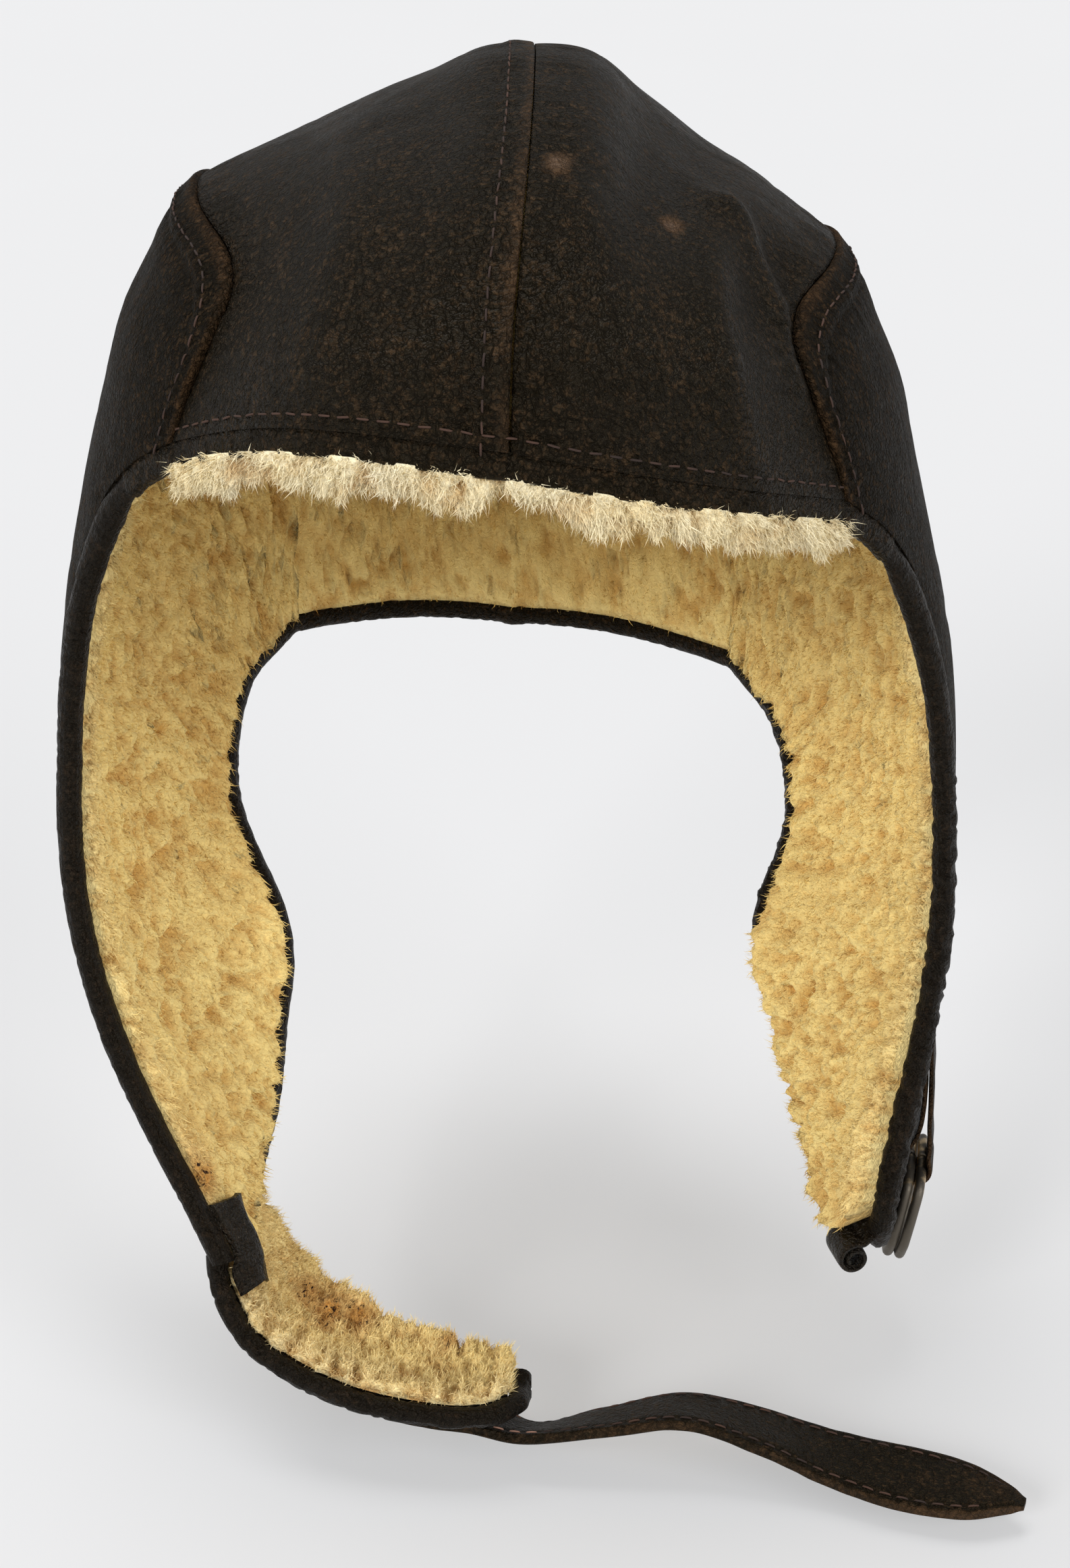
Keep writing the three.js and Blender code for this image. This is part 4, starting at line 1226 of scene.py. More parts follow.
def fleece(name, node, count, seed, spots, back, away, depth, rounded, lean_out, bleach, crowd, squeeze):
    """A sheet of curly pile with its loose wisps. back is its skin, away the way off the skin,
    rounded falls to 0 at free borders, lean_out leans the pile over them, bleach is how pale it is
    and crowd the share of wisps. Curls are longest along the axis with the least squeeze."""
    rng = np.random.default_rng(seed)
    clump = sizes().clump / MM
    rows, columns = back.shape[:2]
    height, centre, own = curly(back + scaled(away, depth), clump, seed, squeeze)
    profile = np.sqrt(1 - (1 - np.clip(rounded, 0, 1)) ** 2)
    lift = (depth + height) * (0.12 + 0.88 * profile)
    ground = back + scaled(away, lift) + scaled(lean_out, 3.4 * profile)
    ground = ground + scaled(unit(lean_out), 0.8 * height * (1 - profile))
    soil = stained(ground if node == "chin_fleece" else lean(ground), spots)
    border = outline_of(rows, columns)
    after = np.roll(border, -1)
    half = rows * columns
    faces = [grid_faces(rows, columns), np.stack([border, after, after + half, border + half], -1)]
    skin = back + away * 0.05
    base = np.concatenate([ground.reshape(-1, 3), skin.reshape(-1, 3)])
    outwards = np.cross(ground[1, 0] - ground[0, 0], ground[0, 1] - ground[0, 0])
    if (outwards * away[0, 0]).sum() < 0:
        faces = turned_round(faces)
    used = np.concatenate([np.arange(half), border + half])
    place = np.full(2 * half, -1)
    place[used] = np.arange(len(used))
    faces = [place[f] for f in faces]
    # The depth value grows with the pile's height: tips take the paler colour and the hollows between locks
    # the darker one, partly the pile's own tone and partly painted shade in the hollows
    pale = np.clip(0.46 + 0.2 * height, 0, 1)
    bleach = bleach * (0.8 + 0.2 * cloud(back, 9, seed + 21))
    looks = {"depth": pale, "tint": own, "soil": soil, "bleach": bleach}
    sheet_looks = {key: np.concatenate([value.ravel()] * 2)[used] for key, value in looks.items()}

    corner = ground[:-1, :-1]
    area = length_of(np.cross(ground[1:, :-1] - corner, ground[:-1, 1:] - corner))
    chance = (area * crowd[:-1, :-1]).ravel()
    cell = rng.choice(len(chance), size=count, p=chance / chance.sum())
    row, column = cell // (columns - 1), cell % (columns - 1)
    u, v = rng.random(count), rng.random(count)

    def at(grid):
        return picked(grid, row, column, u, v)

    roots, off, over = at(ground), unit(at(away)), at(lean_out)
    gather = (at(centre) - roots) / clump
    gather = gather - off * dot(gather, off)
    way = unit(off + gather * 0.5 + over * 1.1 + rng.normal(size=(count, 3)) * 0.4 + np.array([0, 0, -0.15]))
    bend = unit(rng.normal(size=(count, 3))) * 0.55 + over * 0.4
    length = sizes().tuft / MM * (0.5 + 0.6 * rng.random(count)) * (1 + 0.5 * at(bleach))
    width = sizes().tuft_width / MM * (0.7 + 0.6 * rng.random(count))
    wisp_looks = {key: at(value) for key, value in looks.items()}
    wisps = tuft_mesh(roots - way * 0.6, way, bend, length, width, **wisp_looks)
    points, all_faces, values = joined([(base[used], faces, sheet_looks), wisps])
    points = points if node == "chin_fleece" else lean(points)
    return placed(new_object(name, points, all_faces, finish_of("fleece"), **values), "fleece", node)


def stained(points, spots):
    """How soiled the pile is, from round spots: place, size, strength"""
    total = np.zeros(points.shape[:-1])
    for place, size, strength in spots:
        far = length_of(points - np.array(place)) / size
        ragged = 1 + 0.5 * cloud(points, 5, 91)
        total = np.maximum(total, strength * np.exp(-((far * ragged) ** 2)))
    return total


# Soiled spots on the left flap: place, size, strength
PILE_SPOTS = (((-83.4, -79, -252), 6, 0.8), ((-86, -77, -246), 4, 0.5))

# Rough lengths of one panel's brow and of an ear panel, which measure how near its borders the pile is
BROW_LENGTH = 75
FLAP_DROP = 170


def crown_pile(side):
    """Lays out the pile of a crown panel, which rolls out below the brow hem"""
    below = np.linspace(-1, 0, 22)[:-1]
    along = np.concatenate([below, np.linspace(0.004, 0.06, 10)[:-1], np.linspace(0.06, 1, 170)])[:, None]
    across = np.broadcast_to(np.linspace(-0.012, 1.0, 60)[None, :], (len(along), 60))
    points = crown_point(side, np.broadcast_to(np.maximum(along, 0.0), across.shape), across)
    brow = crown_point(side, np.zeros_like(across), across)
    down = unit(brow - crown_point(side, np.full_like(across, 0.03), across))
    hanging = np.maximum(-along, 0)
    inner = inward(points)
    turn = math.pi * hanging
    from_ridge = across * BROW_LENGTH
    spread = stack(from_ridge, 0, 0)
    locks = 0.2 * cloud(spread, 7, 71 + side) + 0.14 * cloud(spread, 3, 72 + side)
    at_ends = 0.55 * bell(from_ridge, 0, 4.5) + 0.4 * bell((1 - across) * BROW_LENGTH, 0, 5)
    size = 1 + locks - at_ends
    roll = scaled(inner, 4.2 * np.cos(turn)) + scaled(down, 8.6 * size * np.sin(turn))
    start = ease(hanging / 0.08)
    back = points + scaled(inner, LEATHER + PILE_CLEARANCE + 1.4 * start)
    away = scaled(inner, 1 - start) + scaled(unit(roll), start)
    return {
        "back": back + scaled(down, (HEM_WIDTH - 1.5) * start),
        "away": unit(away),
        "depth": 4.2 + (length_of(roll) - 5.6) * start,
        "rounded": (1 - along) * 45 + 0 * across,
        "lean_out": scaled(down, 0.4 * start) * 0.25,
        "bleach": start * 0.95 + 0 * across,
        "crowd": np.where(along < 0.02, 4.0, 0.35) + 0 * across,
        "squeeze": (1.3, 1, 1),
    }


def ear_pile(side):
    """Lays out the pile of an ear panel, which is thickest low on the right flap"""
    along, down = np.meshgrid(np.linspace(0.006, 0.994, 108), np.linspace(0.0, 0.99, 180), indexing="ij")
    points = panel_point(side, along, down)
    inner = inward(points)
    back = points + inner * (LEATHER + PILE_CLEARANCE)
    face_out = unit(points[:1] - points[3:4])
    rear_out = unit(points[-1:] - points[-4:-3])
    end_out = unit(points[:, -1:] - points[:, -4:-3])
    width = length_of(points[-1] - points[0])[None, :]
    from_face = along * width
    from_rear = (1 - along) * width
    from_end = (1 - down) * FLAP_DROP
    over = scaled(face_out, 0.95 * np.exp(-from_face / 3.4))
    over = over + scaled(rear_out, 0.95 * np.exp(-from_rear / 3.4))
    over = over + scaled(end_out, 0.8 * np.exp(-from_end / 4))
    depth = 5.0 + 0 * down
    if side == RIGHT:
        lower = ease((down - 0.6) / 0.3)
        depth = depth + 5 * ease((down - 0.5) / 0.35) * ease((along - 0.2) / 0.5) + 4.5 * lower
        over = over + scaled(end_out, 1.1 * np.exp(-from_end / 9))
        over = over + scaled(rear_out, 0.5 * lower * ease(along / 0.8))
    else:
        depth = depth - 2.6 * ease((down - 0.86) / 0.08) * ease((0.45 - along) / 0.2)
    return {
        "back": back,
        "away": inner,
        "depth": depth,
        "rounded": np.minimum(np.minimum(from_face, from_rear), from_end) / 2.6,
        "lean_out": over,
        "bleach": 0.12 * np.exp(-from_face / 9),
        "crowd": 0.8 + 3 * np.exp(-from_face / 3) + 1.5 * np.exp(-from_end / 5),
        "squeeze": (1, 1, 1.45),
    }


class HELMET_OT_fleece(bpy.types.Operator):
    """Makes the pile that lines the crown and the ear panels"""

    bl_idname = "helmet.fleece"
    bl_label = "Fleece lining"

    def execute(self, context):
        pieces = (
            ("crown_pile", crown_pile, "crown_fleece", 22000, 30),
            ("ear_pile", ear_pile, "side_fleece", 36000, 40),
        )
        for name, layout, node, count, seed in pieces:
            for side, hand in NAMES.items():
                fleece(f"{name}_{hand}", f"{node}_{hand}", count, seed + side, PILE_SPOTS, **layout(side))
        return {"FINISHED"}


# The band under the chin


def chin_frame(along):
    """Front edge, way across, way along and way up of the band, and its width"""

    def place(share):
        right, ahead, down = (read(CHIN, column, share) for column in ("right", "ahead", "down"))
        return stack(right, -ahead, -down) * CHIN_LENGTH

    path, _, out, _ = END_STOPS
    start = lean(path[:1] + out[:1] * CLEARANCE)[0]
    way = unit(place(along + 0.02) - place(along - 0.02))
    across = np.array([CHIN_SKEW, 1.0, 0.0]) + 0 * way
    across = unit(across - way * dot(across, way))
    across = turned(across, way, read(CHIN, "tilt", along)[..., None])
    width = read(CHIN, "width", along) * CHIN_WIDTH
    front = start + place(along) + scaled(across, (CHIN_WIDTH - width) / 2)
    return front, across, way, unit(np.cross(way, across)), width


def end_stops():
    """Where the band is sewn to the left flap's end"""
    at = np.linspace(-0.02, 1.02, 60)
    path = panel_point(LEFT, np.clip(at, 0, 1), np.ones_like(at))
    path[0] = panel_point(LEFT, np.zeros(1), np.full(1, 0.97))[0]
    path[-1] = panel_point(LEFT, np.ones(1), np.full(1, 0.97))[0]
    way = unit(np.gradient(path, axis=0))
    off = -inward(path)
    out = -unit(np.cross(way, off))
    return path[1:-1], way[1:-1], out[1:-1], off[1:-1]


END_STOPS = end_stops()
RIM_START = 0.07

# Soiled spots on the band's pile: place, size, strength
CHIN_SPOTS = (
    ((-58.5, -77.6, -288), 4.5, 0.75),
    ((-52, -82, -291.5), 5.5, 0.9),
    ((-47, -81, -293), 5, 0.9),
    ((-42.5, -79, -293.5), 3.5, 0.7),
    ((-22.7, -84, -299.2), 2.6, 0.8),
)

# Rows of the patch over the joint, and how far in and how high each of its columns lies
PATCH_ON_FLAP = (0.92, 0.95, 0.98)
PATCH_ON_BAND = (0.05, 0.12, 0.19)
PATCH_LIFT = 3 * CLEARANCE
PATCH = np.array(
    [
        (-0.5 * RIM_WIDTH, RIM_THICKNESS / 2 + PATCH_LIFT),
        (0.7, 7.5),
        (0.11 * CHIN_WIDTH, 8.5),
        (0.22 * CHIN_WIDTH, 8.0),
    ]
)


def chin_point(along, across, height):
    """A point of the band: it starts on the flap's lower edge and turns into the free band"""
    along, across, height = np.broadcast_arrays(np.asarray(along, float), across, height)
    front, back, _, up, width = chin_frame(along)
    hollow = -0.1 * width * np.sin(math.pi * across)
    free = front + scaled(back, width * across) + scaled(up, height + hollow)
    path, _, out, _ = END_STOPS
    at = np.linspace(0, 1, len(path))
    stop = interpolated(across, at, path)
    stop_out = unit(interpolated(across, at, out))
    sewn = lean(stop + stop_out * (1.6 * CLEARANCE) + scaled(inward(stop), LEATHER + height))
    return sewn + scaled(free - sewn, ease(along / 0.3))


def patch_surface(above):
    """The patch on the joint of flap and band: on their rims, then up onto the pile"""
    rows = []
    inside, height = PATCH.T
    for down in PATCH_ON_FLAP:
        at = np.full(1, down)
        edge, beside_edge, far = (panel_point(LEFT, np.full(1, share), at) for share in (0.0, 0.1, 1.0))
        width = np.linalg.norm(far - edge)
        points = panel_point(LEFT, np.maximum(inside, 0) / width, np.full(len(inside), down))
        points = points + scaled(unit(edge - beside_edge), np.maximum(-inside, 0))
        rows.append(lean(points + scaled(inward(points), LEATHER + height + above)))
    for along in PATCH_ON_BAND:
        points = chin_point(np.full(len(inside), along), np.maximum(inside, 0) / CHIN_WIDTH, height + above)
        across = chin_frame(np.full(len(inside), along))[1]
        rows.append(points + scaled(across, np.minimum(inside, 0)))
    grid = np.array(rows)
    grid = grid + 0.9 * drift(grid, 4, 0) * np.array([1, 1, 0.3])
    for count in (38, 26):
        at = np.linspace(0, 1, count)
        grid = np.stack([catmull_rom(grid[:, i], at) for i in range(grid.shape[1])])
    return grid


def chin_leather():
    """The band's leather, a little dented and rubbed at its edges"""
    along = np.linspace(0, 1, 60)[:, None]
    across = np.linspace(0, 1, 30)[None, :]
    under = chin_point(along, across, -LEATHER)
    top = chin_point(along, across, 0)
    dents = 0.5 * cloud(under, 14, 7)
    shape = under + scaled(unit(under - top), dents)
    wear = 0.2 + 0.3 * ease((np.abs(across - 0.5) - 0.35) / 0.15) + 0 * along
    obj = shell("chin_leather", shape, top, finish_of("hide"), wear=wear)
    placed(obj, "hide", "chin_piece")


def chin_pile():
    """The band's pile, which leans out over its two long edges and its end"""
    along = np.linspace(-0.02, 1, 112)[:, None]
    across = np.linspace(0.0, 1, 46)[None, :]
    back = chin_point(along, across, PILE_CLEARANCE)
    up = unit(chin_point(along, across, PILE_CLEARANCE + 2) - back)
    edge = unit(back[:, -1:] - back[:, :1])
    end = unit(back[-1:] - back[-4:-3])
    sideways = np.exp(-(1 - across) / 0.11) - np.exp(-across / 0.11)
    endwards = np.exp(-(1 - along) / 0.05)
    over = scaled(edge, 0.9 * sideways + 0 * along) + scaled(end, 0.7 * endwards + 0 * across)
    rounded = np.minimum(np.minimum(across, 1 - across) * CHIN_WIDTH / 2.6, (1 - along) * CHIN_LENGTH / 2.6)
    layout = {
        "back": back,
        "away": up,
        "depth": 3.2 - 1.4 * ease((0.22 - along) / 0.1) * ease((0.4 - across) / 0.2),
        "rounded": rounded,
        "lean_out": over,
        "bleach": 0.15 + 0.3 * np.exp(-across / 0.2) + 0 * along,
        "crowd": 1 + 0 * rounded,
        "squeeze": (1.5, 1, 1),
    }
    fleece("chin_pile", "chin_fleece", 15000, 51, CHIN_SPOTS, **layout)


def chin_rim():
    """The rolled rim along the band's front edge and round its end"""
    steps = np.linspace(RIM_START, 1, 90)
    edge_path = chin_point(steps, 0 * steps, -LEATHER / 2)
    edge_path = np.concatenate([edge_path[:1] + 1.6 * unit(edge_path[:1] - edge_path[1:2]), edge_path])
    turn = np.linspace(0.06, 0.86, 22)
    end_path = chin_point(np.ones_like(turn), turn, -LEATHER / 2)
    path = softened(resampled(np.concatenate([edge_path, end_path]), 0.9)[0], 5)
    up = chin_frame(np.linspace(RIM_START, 1, len(path)))[3]
    _, out, up = frame_along(path, up)
    run = along_path(path)
    centre = path + scaled(out, CLEARANCE + 0.5 * CHIN_RIM + 0.1 - 1.8 * (1 - ease(run / 14)))
    rings = section(centre, out, up, CHIN_RIM + 0.4, CHIN_RIM, 16)
    away = unit(rings - centre[:, None, :])
    fold = veins(stack(run[:, None] / 2.8, away[..., 0], away[..., 2]), 1.0, 33, 2.4) ** 1.5
    taper = ease(np.minimum(run, run[-1] - run)[:, None] / 3)
    rings = rings - scaled(away, 0.55 * fold * taper)
    placed(tube("chin_rim", rings, finish_of("rim"), wear=0.1 + 0.12 * (1 - fold)), "rim", "chin_binding")


def join_patch():
    """The leather patch over the joint, wrinkled on its upper side"""
    low, high = patch_surface(0.0), patch_surface(PATCH_THICKNESS)
    high = high + scaled(unit(high - low), 0.35 * cloud(high, 5, 5) - 0.3 * veins(high, 9, 6, 3))
    obj = shell("join_leather", high, low, finish_of("lace"), wear=0.15 + 0 * high[..., 0])
    placed(obj, "rim", "join_patch")


class HELMET_OT_chin_band(bpy.types.Operator):
    """Makes the lined band under the chin, its rolled rim and the patch over its joint"""

    bl_idname = "helmet.chin_band"
    bl_label = "Chin band"

    def execute(self, context):
        chin_leather()
        chin_pile()
        chin_rim()
        join_patch()
        return {"FINISHED"}


# The strap


def catmull_rom(points, at):
    """A centripetal curve through points, read at shares of its spans"""
    points = np.asarray(points, float)
    full = np.concatenate([[2 * points[0] - points[1]], points, [2 * points[-1] - points[-2]]])
    place = np.clip(at, 0, 1) * (len(points) - 1)
    k = np.minimum(place.astype(int), len(points) - 2)
    u = (place - k)[:, None]
    p = [full[k + i] for i in range(4)]
    d = [np.maximum(np.linalg.norm(p[i + 1] - p[i], axis=-1, keepdims=True) ** 0.5, 1e-4) for i in range(3)]
    t1 = ((p[1] - p[0]) / d[0] - (p[2] - p[0]) / (d[0] + d[1]) + (p[2] - p[1]) / d[1]) * d[1]
    t2 = ((p[2] - p[1]) / d[1] - (p[3] - p[1]) / (d[1] + d[2]) + (p[3] - p[2]) / d[2]) * d[1]
    return p[1] + t1 * u + (3 * (p[2] - p[1]) - 2 * t1 - t2) * u**2 + (2 * (p[1] - p[2]) + t1 + t2) * u**3


def strap_edges():
    """The strap's middle at each of its stops, and the way from there to its back edge"""
    under = LEATHER + 0.1 * CHIN_WIDTH + CLEARANCE + STRAP_THICKNESS / 2 + 0.4
    front, across, _, up, width = chin_frame(np.array(STRAP_SEWN))
    centres = list(front + scaled(across, width / 2 - 1) - up * under)
    ways = [0.95 * STRAP_WIDTH / 2 * a for a in across]
    start = centres[-1]
    for right, ahead, up, _, _ in STRAP:
        centres.append(start + STRAP_LENGTH * np.array([right, -ahead, up]))
    for k, (_, _, _, width, tilt) in enumerate(STRAP, len(STRAP_SEWN)):
        way = unit(centres[min(k + 1, len(centres) - 1)] - centres[k - 1])
        level = unit(np.array([-way[1], way[0], 0.0]))
        across = level * math.cos(tilt) + np.array([0, 0, math.sin(tilt)])
        across = unit(across - way * (across @ way))
        ways.append(across * width * STRAP_WIDTH / 2)
    return np.array(centres), np.array(ways)


def strap_path():
    """The strap's middle line, its ways across and up, and its width"""
    centres, ways = strap_edges()
    at = np.linspace(0, 1, 170)
    front, back = catmull_rom(centres - ways, at), catmull_rom(centres + ways, at)
    centre = (front + back) / 2
    width = length_of(back - front)
    across = unit(back - front)
    way = unit(np.gradient(centre, axis=0))
    return centre, across, unit(np.cross(way, across)), width


class HELMET_OT_strap(bpy.types.Operator):
    """Makes the long doubled strap with its pointed end"""

    bl_idname = "helmet.strap"
    bl_label = "Chin strap"

    def execute(self, context):
        centre, across, up, width = strap_path()
        run = along_path(centre)
        tip = run[-1] - run
        thick = STRAP_THICKNESS * np.sqrt(np.clip(tip / 3, 0.25, 1)) * (0.9 + 0.1 * ease(run / 8))
        rings = section(centre, across, up, width, thick, 40, 0.42)
        offset = rings - centre[:, None, :]
        share = dot(offset, across[:, None, :])[..., 0] / (width[:, None] / 2)
        above = dot(offset, up[:, None, :])[..., 0] / (thick[:, None] / 2)
        groove = bell(above, 0, 0.25) * ease((np.abs(share) - 0.9) / 0.08)
        sewn = bell(np.abs(share), 0.78, 0.07) * np.abs(above)
        wavy = 0.35 * cloud(rings, 13, 21) + 0.12 * cloud(rings, 4, 22)
        height = (wavy - 0.3 * np.sign(above) * sewn) * np.clip(tip / 6, 0, 1)[:, None]
        rings = rings - scaled(across[:, None, :], np.sign(share) * groove * 0.55)
        rings = rings + scaled(up[:, None, :], height)
        wear = 0.22 + 0.28 * ease((np.abs(share) - 0.86) / 0.14) + 0.2 * np.clip(1 - tip / 60, 0, 1)[:, None]
        obj = tube("strap_leather", rings, finish_of("strap"), wear=np.clip(wear, 0, 1))
        placed(obj, "strap", "chin_strap")
        return {"FINISHED"}


# The loop, the rings and the curled tab

RING_WIRE = 2.8
RING_SIDES = 14
RING_INSIDE = 25
RING_LENGTH = 30
RING_TILT = 0.17
BUCKLE_TURN = -0.167
TAB_WIDTH = 14
TAB_LENGTH = 39
TAB_LAYER = 1.5
TAB_PLACE = -0.432
TAB_LEVEL = 1.48
TAB_STAND_OFF = 1.2
TAB_SLANT = 0.03
EYE_RADIUS = RING_WIRE + CLEARANCE + 0.15
CURL_RADIUS = 5.2
CURL_WIDTH = 11


def buckle_place():
    """Where the rings turn"""
    x = side_point(RIGHT, np.array(TAB_PLACE), np.array(TAB_LEVEL))[0]
    top = lean(stack(x, TAB_PLACE * HALF_DEPTH, height_of(TAB_LEVEL)))
    return top + np.array([TAB_STAND_OFF - TAB_SLANT * TAB_LENGTH, 0, -TAB_LENGTH])


def in_buckle(points, tilt=0.0):
    """From the loop's own directions, or a tilted ring's, to the helmet's"""
    c, s = math.cos(tilt), math.sin(tilt)
    x = points[..., 0] * c + points[..., 2] * s
    z = -points[..., 0] * s + points[..., 2] * c
    ct, st = math.cos(BUCKLE_TURN), math.sin(BUCKLE_TURN)
    y = points[..., 1]
    return stack(x * ct - y * st, x * st + y * ct, z) + buckle_place()


def ring_loop():
    """The leather loop, with the eye at its lower end that carries the rings"""
    middle = EYE_RADIUS + TAB_LAYER / 2
    turn = np.radians(np.linspace(40, -220, 26))
    outer = [(1.9, 39), (2.5, 30), (2.9, 20), (3.0, 12), (3.5, 7)]
    inner = [(-2.3, 6.5), (-0.4, 10), (0.6, 14), (1.1, 20), (0.9, 30), (0.5, 39)]
    path = np.array(outer + [(middle * math.cos(t), middle * math.sin(t)) for t in turn] + inner)
    path = softened(resampled(np.stack([path[:, 0], 0 * path[:, 0], path[:, 1]], -1), 0.8)[0], 4)
    way = unit(np.gradient(path, axis=0))
    across = np.broadcast_to(np.array([0.0, 1.0, 0.0]), path.shape)
    run = along_path(path)
    wide = TAB_WIDTH * (1 - 0.06 * bell(run, run[-1] / 2, 14))
    rings = section(path, across, np.cross(way, across), wide, TAB_LAYER, 24, 0.4)
    rings = rings + 0.12 * drift(rings, 5, 0)
    rim = np.abs(rings[..., 1]) / (TAB_WIDTH / 2)
    wear = 0.15 + 0.45 * ease((rim - 0.82) / 0.18) + 0.2 * bell(run, run[-1] / 2, 12)[:, None]
    obj = tube("ring_loop", in_buckle(rings), finish_of("strap"), wear=np.clip(wear, 0, 1))
    placed(obj, "rim", "buckle_tab")


def metal_rings():
    """The two rings side by side in the eye, worn where they hang"""
    half = (RING_INSIDE + RING_WIRE) / 2
    drop = RING_LENGTH - RING_WIRE
    bow = [(0.5, 0), (0.93, 0.04), (1, 0.18), (1, 0.45), (0.9, 0.72), (0.62, 0.93), (0.22, 1)]
    shape = np.array([(0, 0)] + bow + [(-a, d) for a, d in bow[::-1]])
    loop = np.stack([0 * shape[:, 0], shape[:, 0] * half, -shape[:, 1] * drop], -1)
    closed = np.concatenate([loop[-3:], loop, loop[:4]])
    dense = softened(resampled(closed, 0.7)[0], 3)
    length = along_path(dense)
    start = along_path(closed)[3]
    end = along_path(closed)[3 + len(loop)]
    at = np.linspace(start, end, 97)[:-1]
    path = interpolated(at, length, dense)
    way = unit(np.roll(path, -1, 0) - np.roll(path, 1, 0))
    across = np.broadcast_to(np.array([1.0, 0, 0]), path.shape)
    rings = section(path, across, np.cross(way, across), RING_WIRE, RING_WIRE, RING_SIDES)
    for name, node, side in (("ring_inside", "ring_inner", -1), ("ring_outside", "ring_outer", 1)):
        shift = side * (RING_WIRE + CLEARANCE) / 2
        points = in_buckle(rings + np.array([shift, 0, 0]), RING_TILT)
        rough = cloud(points, 2.4, 9)
        points = points + scaled(unit(rings - path[:, None, :]), 0.05 * rough)
        wear = 0.25 + 0.5 * np.clip((rings[..., 2] + 8) / 8, 0, 1) + 0.25 * (np.abs(rings[..., 0]) > 1.2)
        last = (len(path) - 1) * RING_SIDES
        j = np.arange(RING_SIDES)
        closing = np.stack([last + j, j, np.roll(j, -1), last + np.roll(j, -1)], -1)
        flat = points.reshape(-1, 3)
        faces = facing_out(flat - flat.mean(0), [grid_faces(len(path), RING_SIDES, closed=True), closing])
        obj = new_object(name, flat, faces, finish_of("metal"), wear=wear)
        placed(obj, "metal", node, body="rings")


def curled_tab():
    """The leather tab, rolled up with its tongue against the pile"""
    u = np.linspace(0, 1, 60)
    radius = (CURL_RADIUS - TAB_LAYER / 2) * (1 - 0.62 * u)
    angle = math.pi * (0.32 + 2.9 * u)
    spiral = np.stack([radius * np.cos(angle), radius * np.sin(angle), 0 * u], -1)
    tongue = np.array([(9.5, 7.5, 0), (7.5, 7.2, 0), (5.4, 6.2, 0), (3.6, 5.0, 0)])
    spiral = softened(resampled(np.concatenate([tongue, spiral]), 0.5)[0], 3)
    way = unit(np.gradient(spiral, axis=0))
    across = np.broadcast_to(np.array([0.0, 0.0, 1.0]), spiral.shape)
    rings = section(spiral, across, np.cross(way, across), CURL_WIDTH, TAB_LAYER, 20, 0.4)
    low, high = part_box("tab_curl")
    centre = (np.array(low) + np.array(high)) / 2 / MM
    c, s = math.cos(0.25), math.sin(0.25)
    x, y, z = rings[..., 0], -rings[..., 2], rings[..., 1]
    points = stack(x * c - y * s, x * s + y * c, z) + centre
    wear = 0.1 + 0.25 * ease((np.abs(rings[..., 2]) / (CURL_WIDTH / 2) - 0.8) / 0.2)
    placed(tube("curled_leather", points, finish_of("lace"), wear=wear), "rim", "tab_curl")


class HELMET_OT_buckle(bpy.types.Operator):
    """Makes the leather loop, the two rings that hang in it and the curled tab"""

    bl_idname = "helmet.buckle"
    bl_label = "Loop and rings"

    def execute(self, context):
        ring_loop()
        metal_rings()
        curled_tab()
        return {"FINISHED"}


# Stitches


def stitch_mesh(path, up, gap, seed):
    """Short raised threads along a path: points, faces and values"""
    length = sizes().stitch / MM
    radius = sizes().thread / MM
    path, up = resampled(path, length + gap, up)
    way = unit(np.gradient(path, axis=0))
    up = unit(up - way * dot(up, way))
    side = np.cross(way, up)
    rng = np.random.default_rng(seed)
    way = unit(way + side * (0.06 * rng.normal(size=(len(path), 1))))
    side = np.cross(way, up)
    stations = np.array([-0.5, -0.38, 0, 0.38, 0.5])
    lift = np.array([-0.9, 0.25, 0.55, 0.25, -0.9]) * radius
    size = np.array([0.45, 0.92, 1, 0.92, 0.45]) * radius
    sides = 6
    turn = 2 * math.pi * np.arange(sides) / sides
    rings = (
        path[:, None, None, :]
        + way[:, None, None, :] * (stations * length)[None, :, None, None]
        + up[:, None, None, :] * (lift[:, None] + size[:, None] * np.sin(turn))[None, :, :, None]
        + side[:, None, None, :] * (size[:, None] * np.cos(turn))[None, :, :, None]
    )
    spans = len(stations) - 1
    start = (np.arange(len(path)) * len(stations) * sides)[:, None, None]
    j = np.arange(sides)
    cell = np.stack([j, np.roll(j, -1), np.roll(j, -1) + sides, j + sides], -1)
    quads = np.concatenate([(start + cell + sides * k).reshape(-1, 4) for k in range(spans)])
    caps = np.concatenate([start[:, 0] + j[::-1], start[:, 0] + sides * spans + j])
    return rings, [quads, caps], {}


# A point inside the helmet, from which stitches look outwards
INSIDE = np.array([0, 0, -70])


def beside(grid, distance):
    """A line on a surface grid at a distance from its first column, and the way up off it"""
    lengths = [along_path(row) for row in grid]
    path, further = (
        np.array([interpolated(at, length, row) for length, row in zip(lengths, grid)])
        for at in (distance, distance + 1.5)
    )
    up = unit(np.cross(np.gradient(path, axis=0), further - path))
    return path, up * np.sign(dot(up, path - INSIDE))


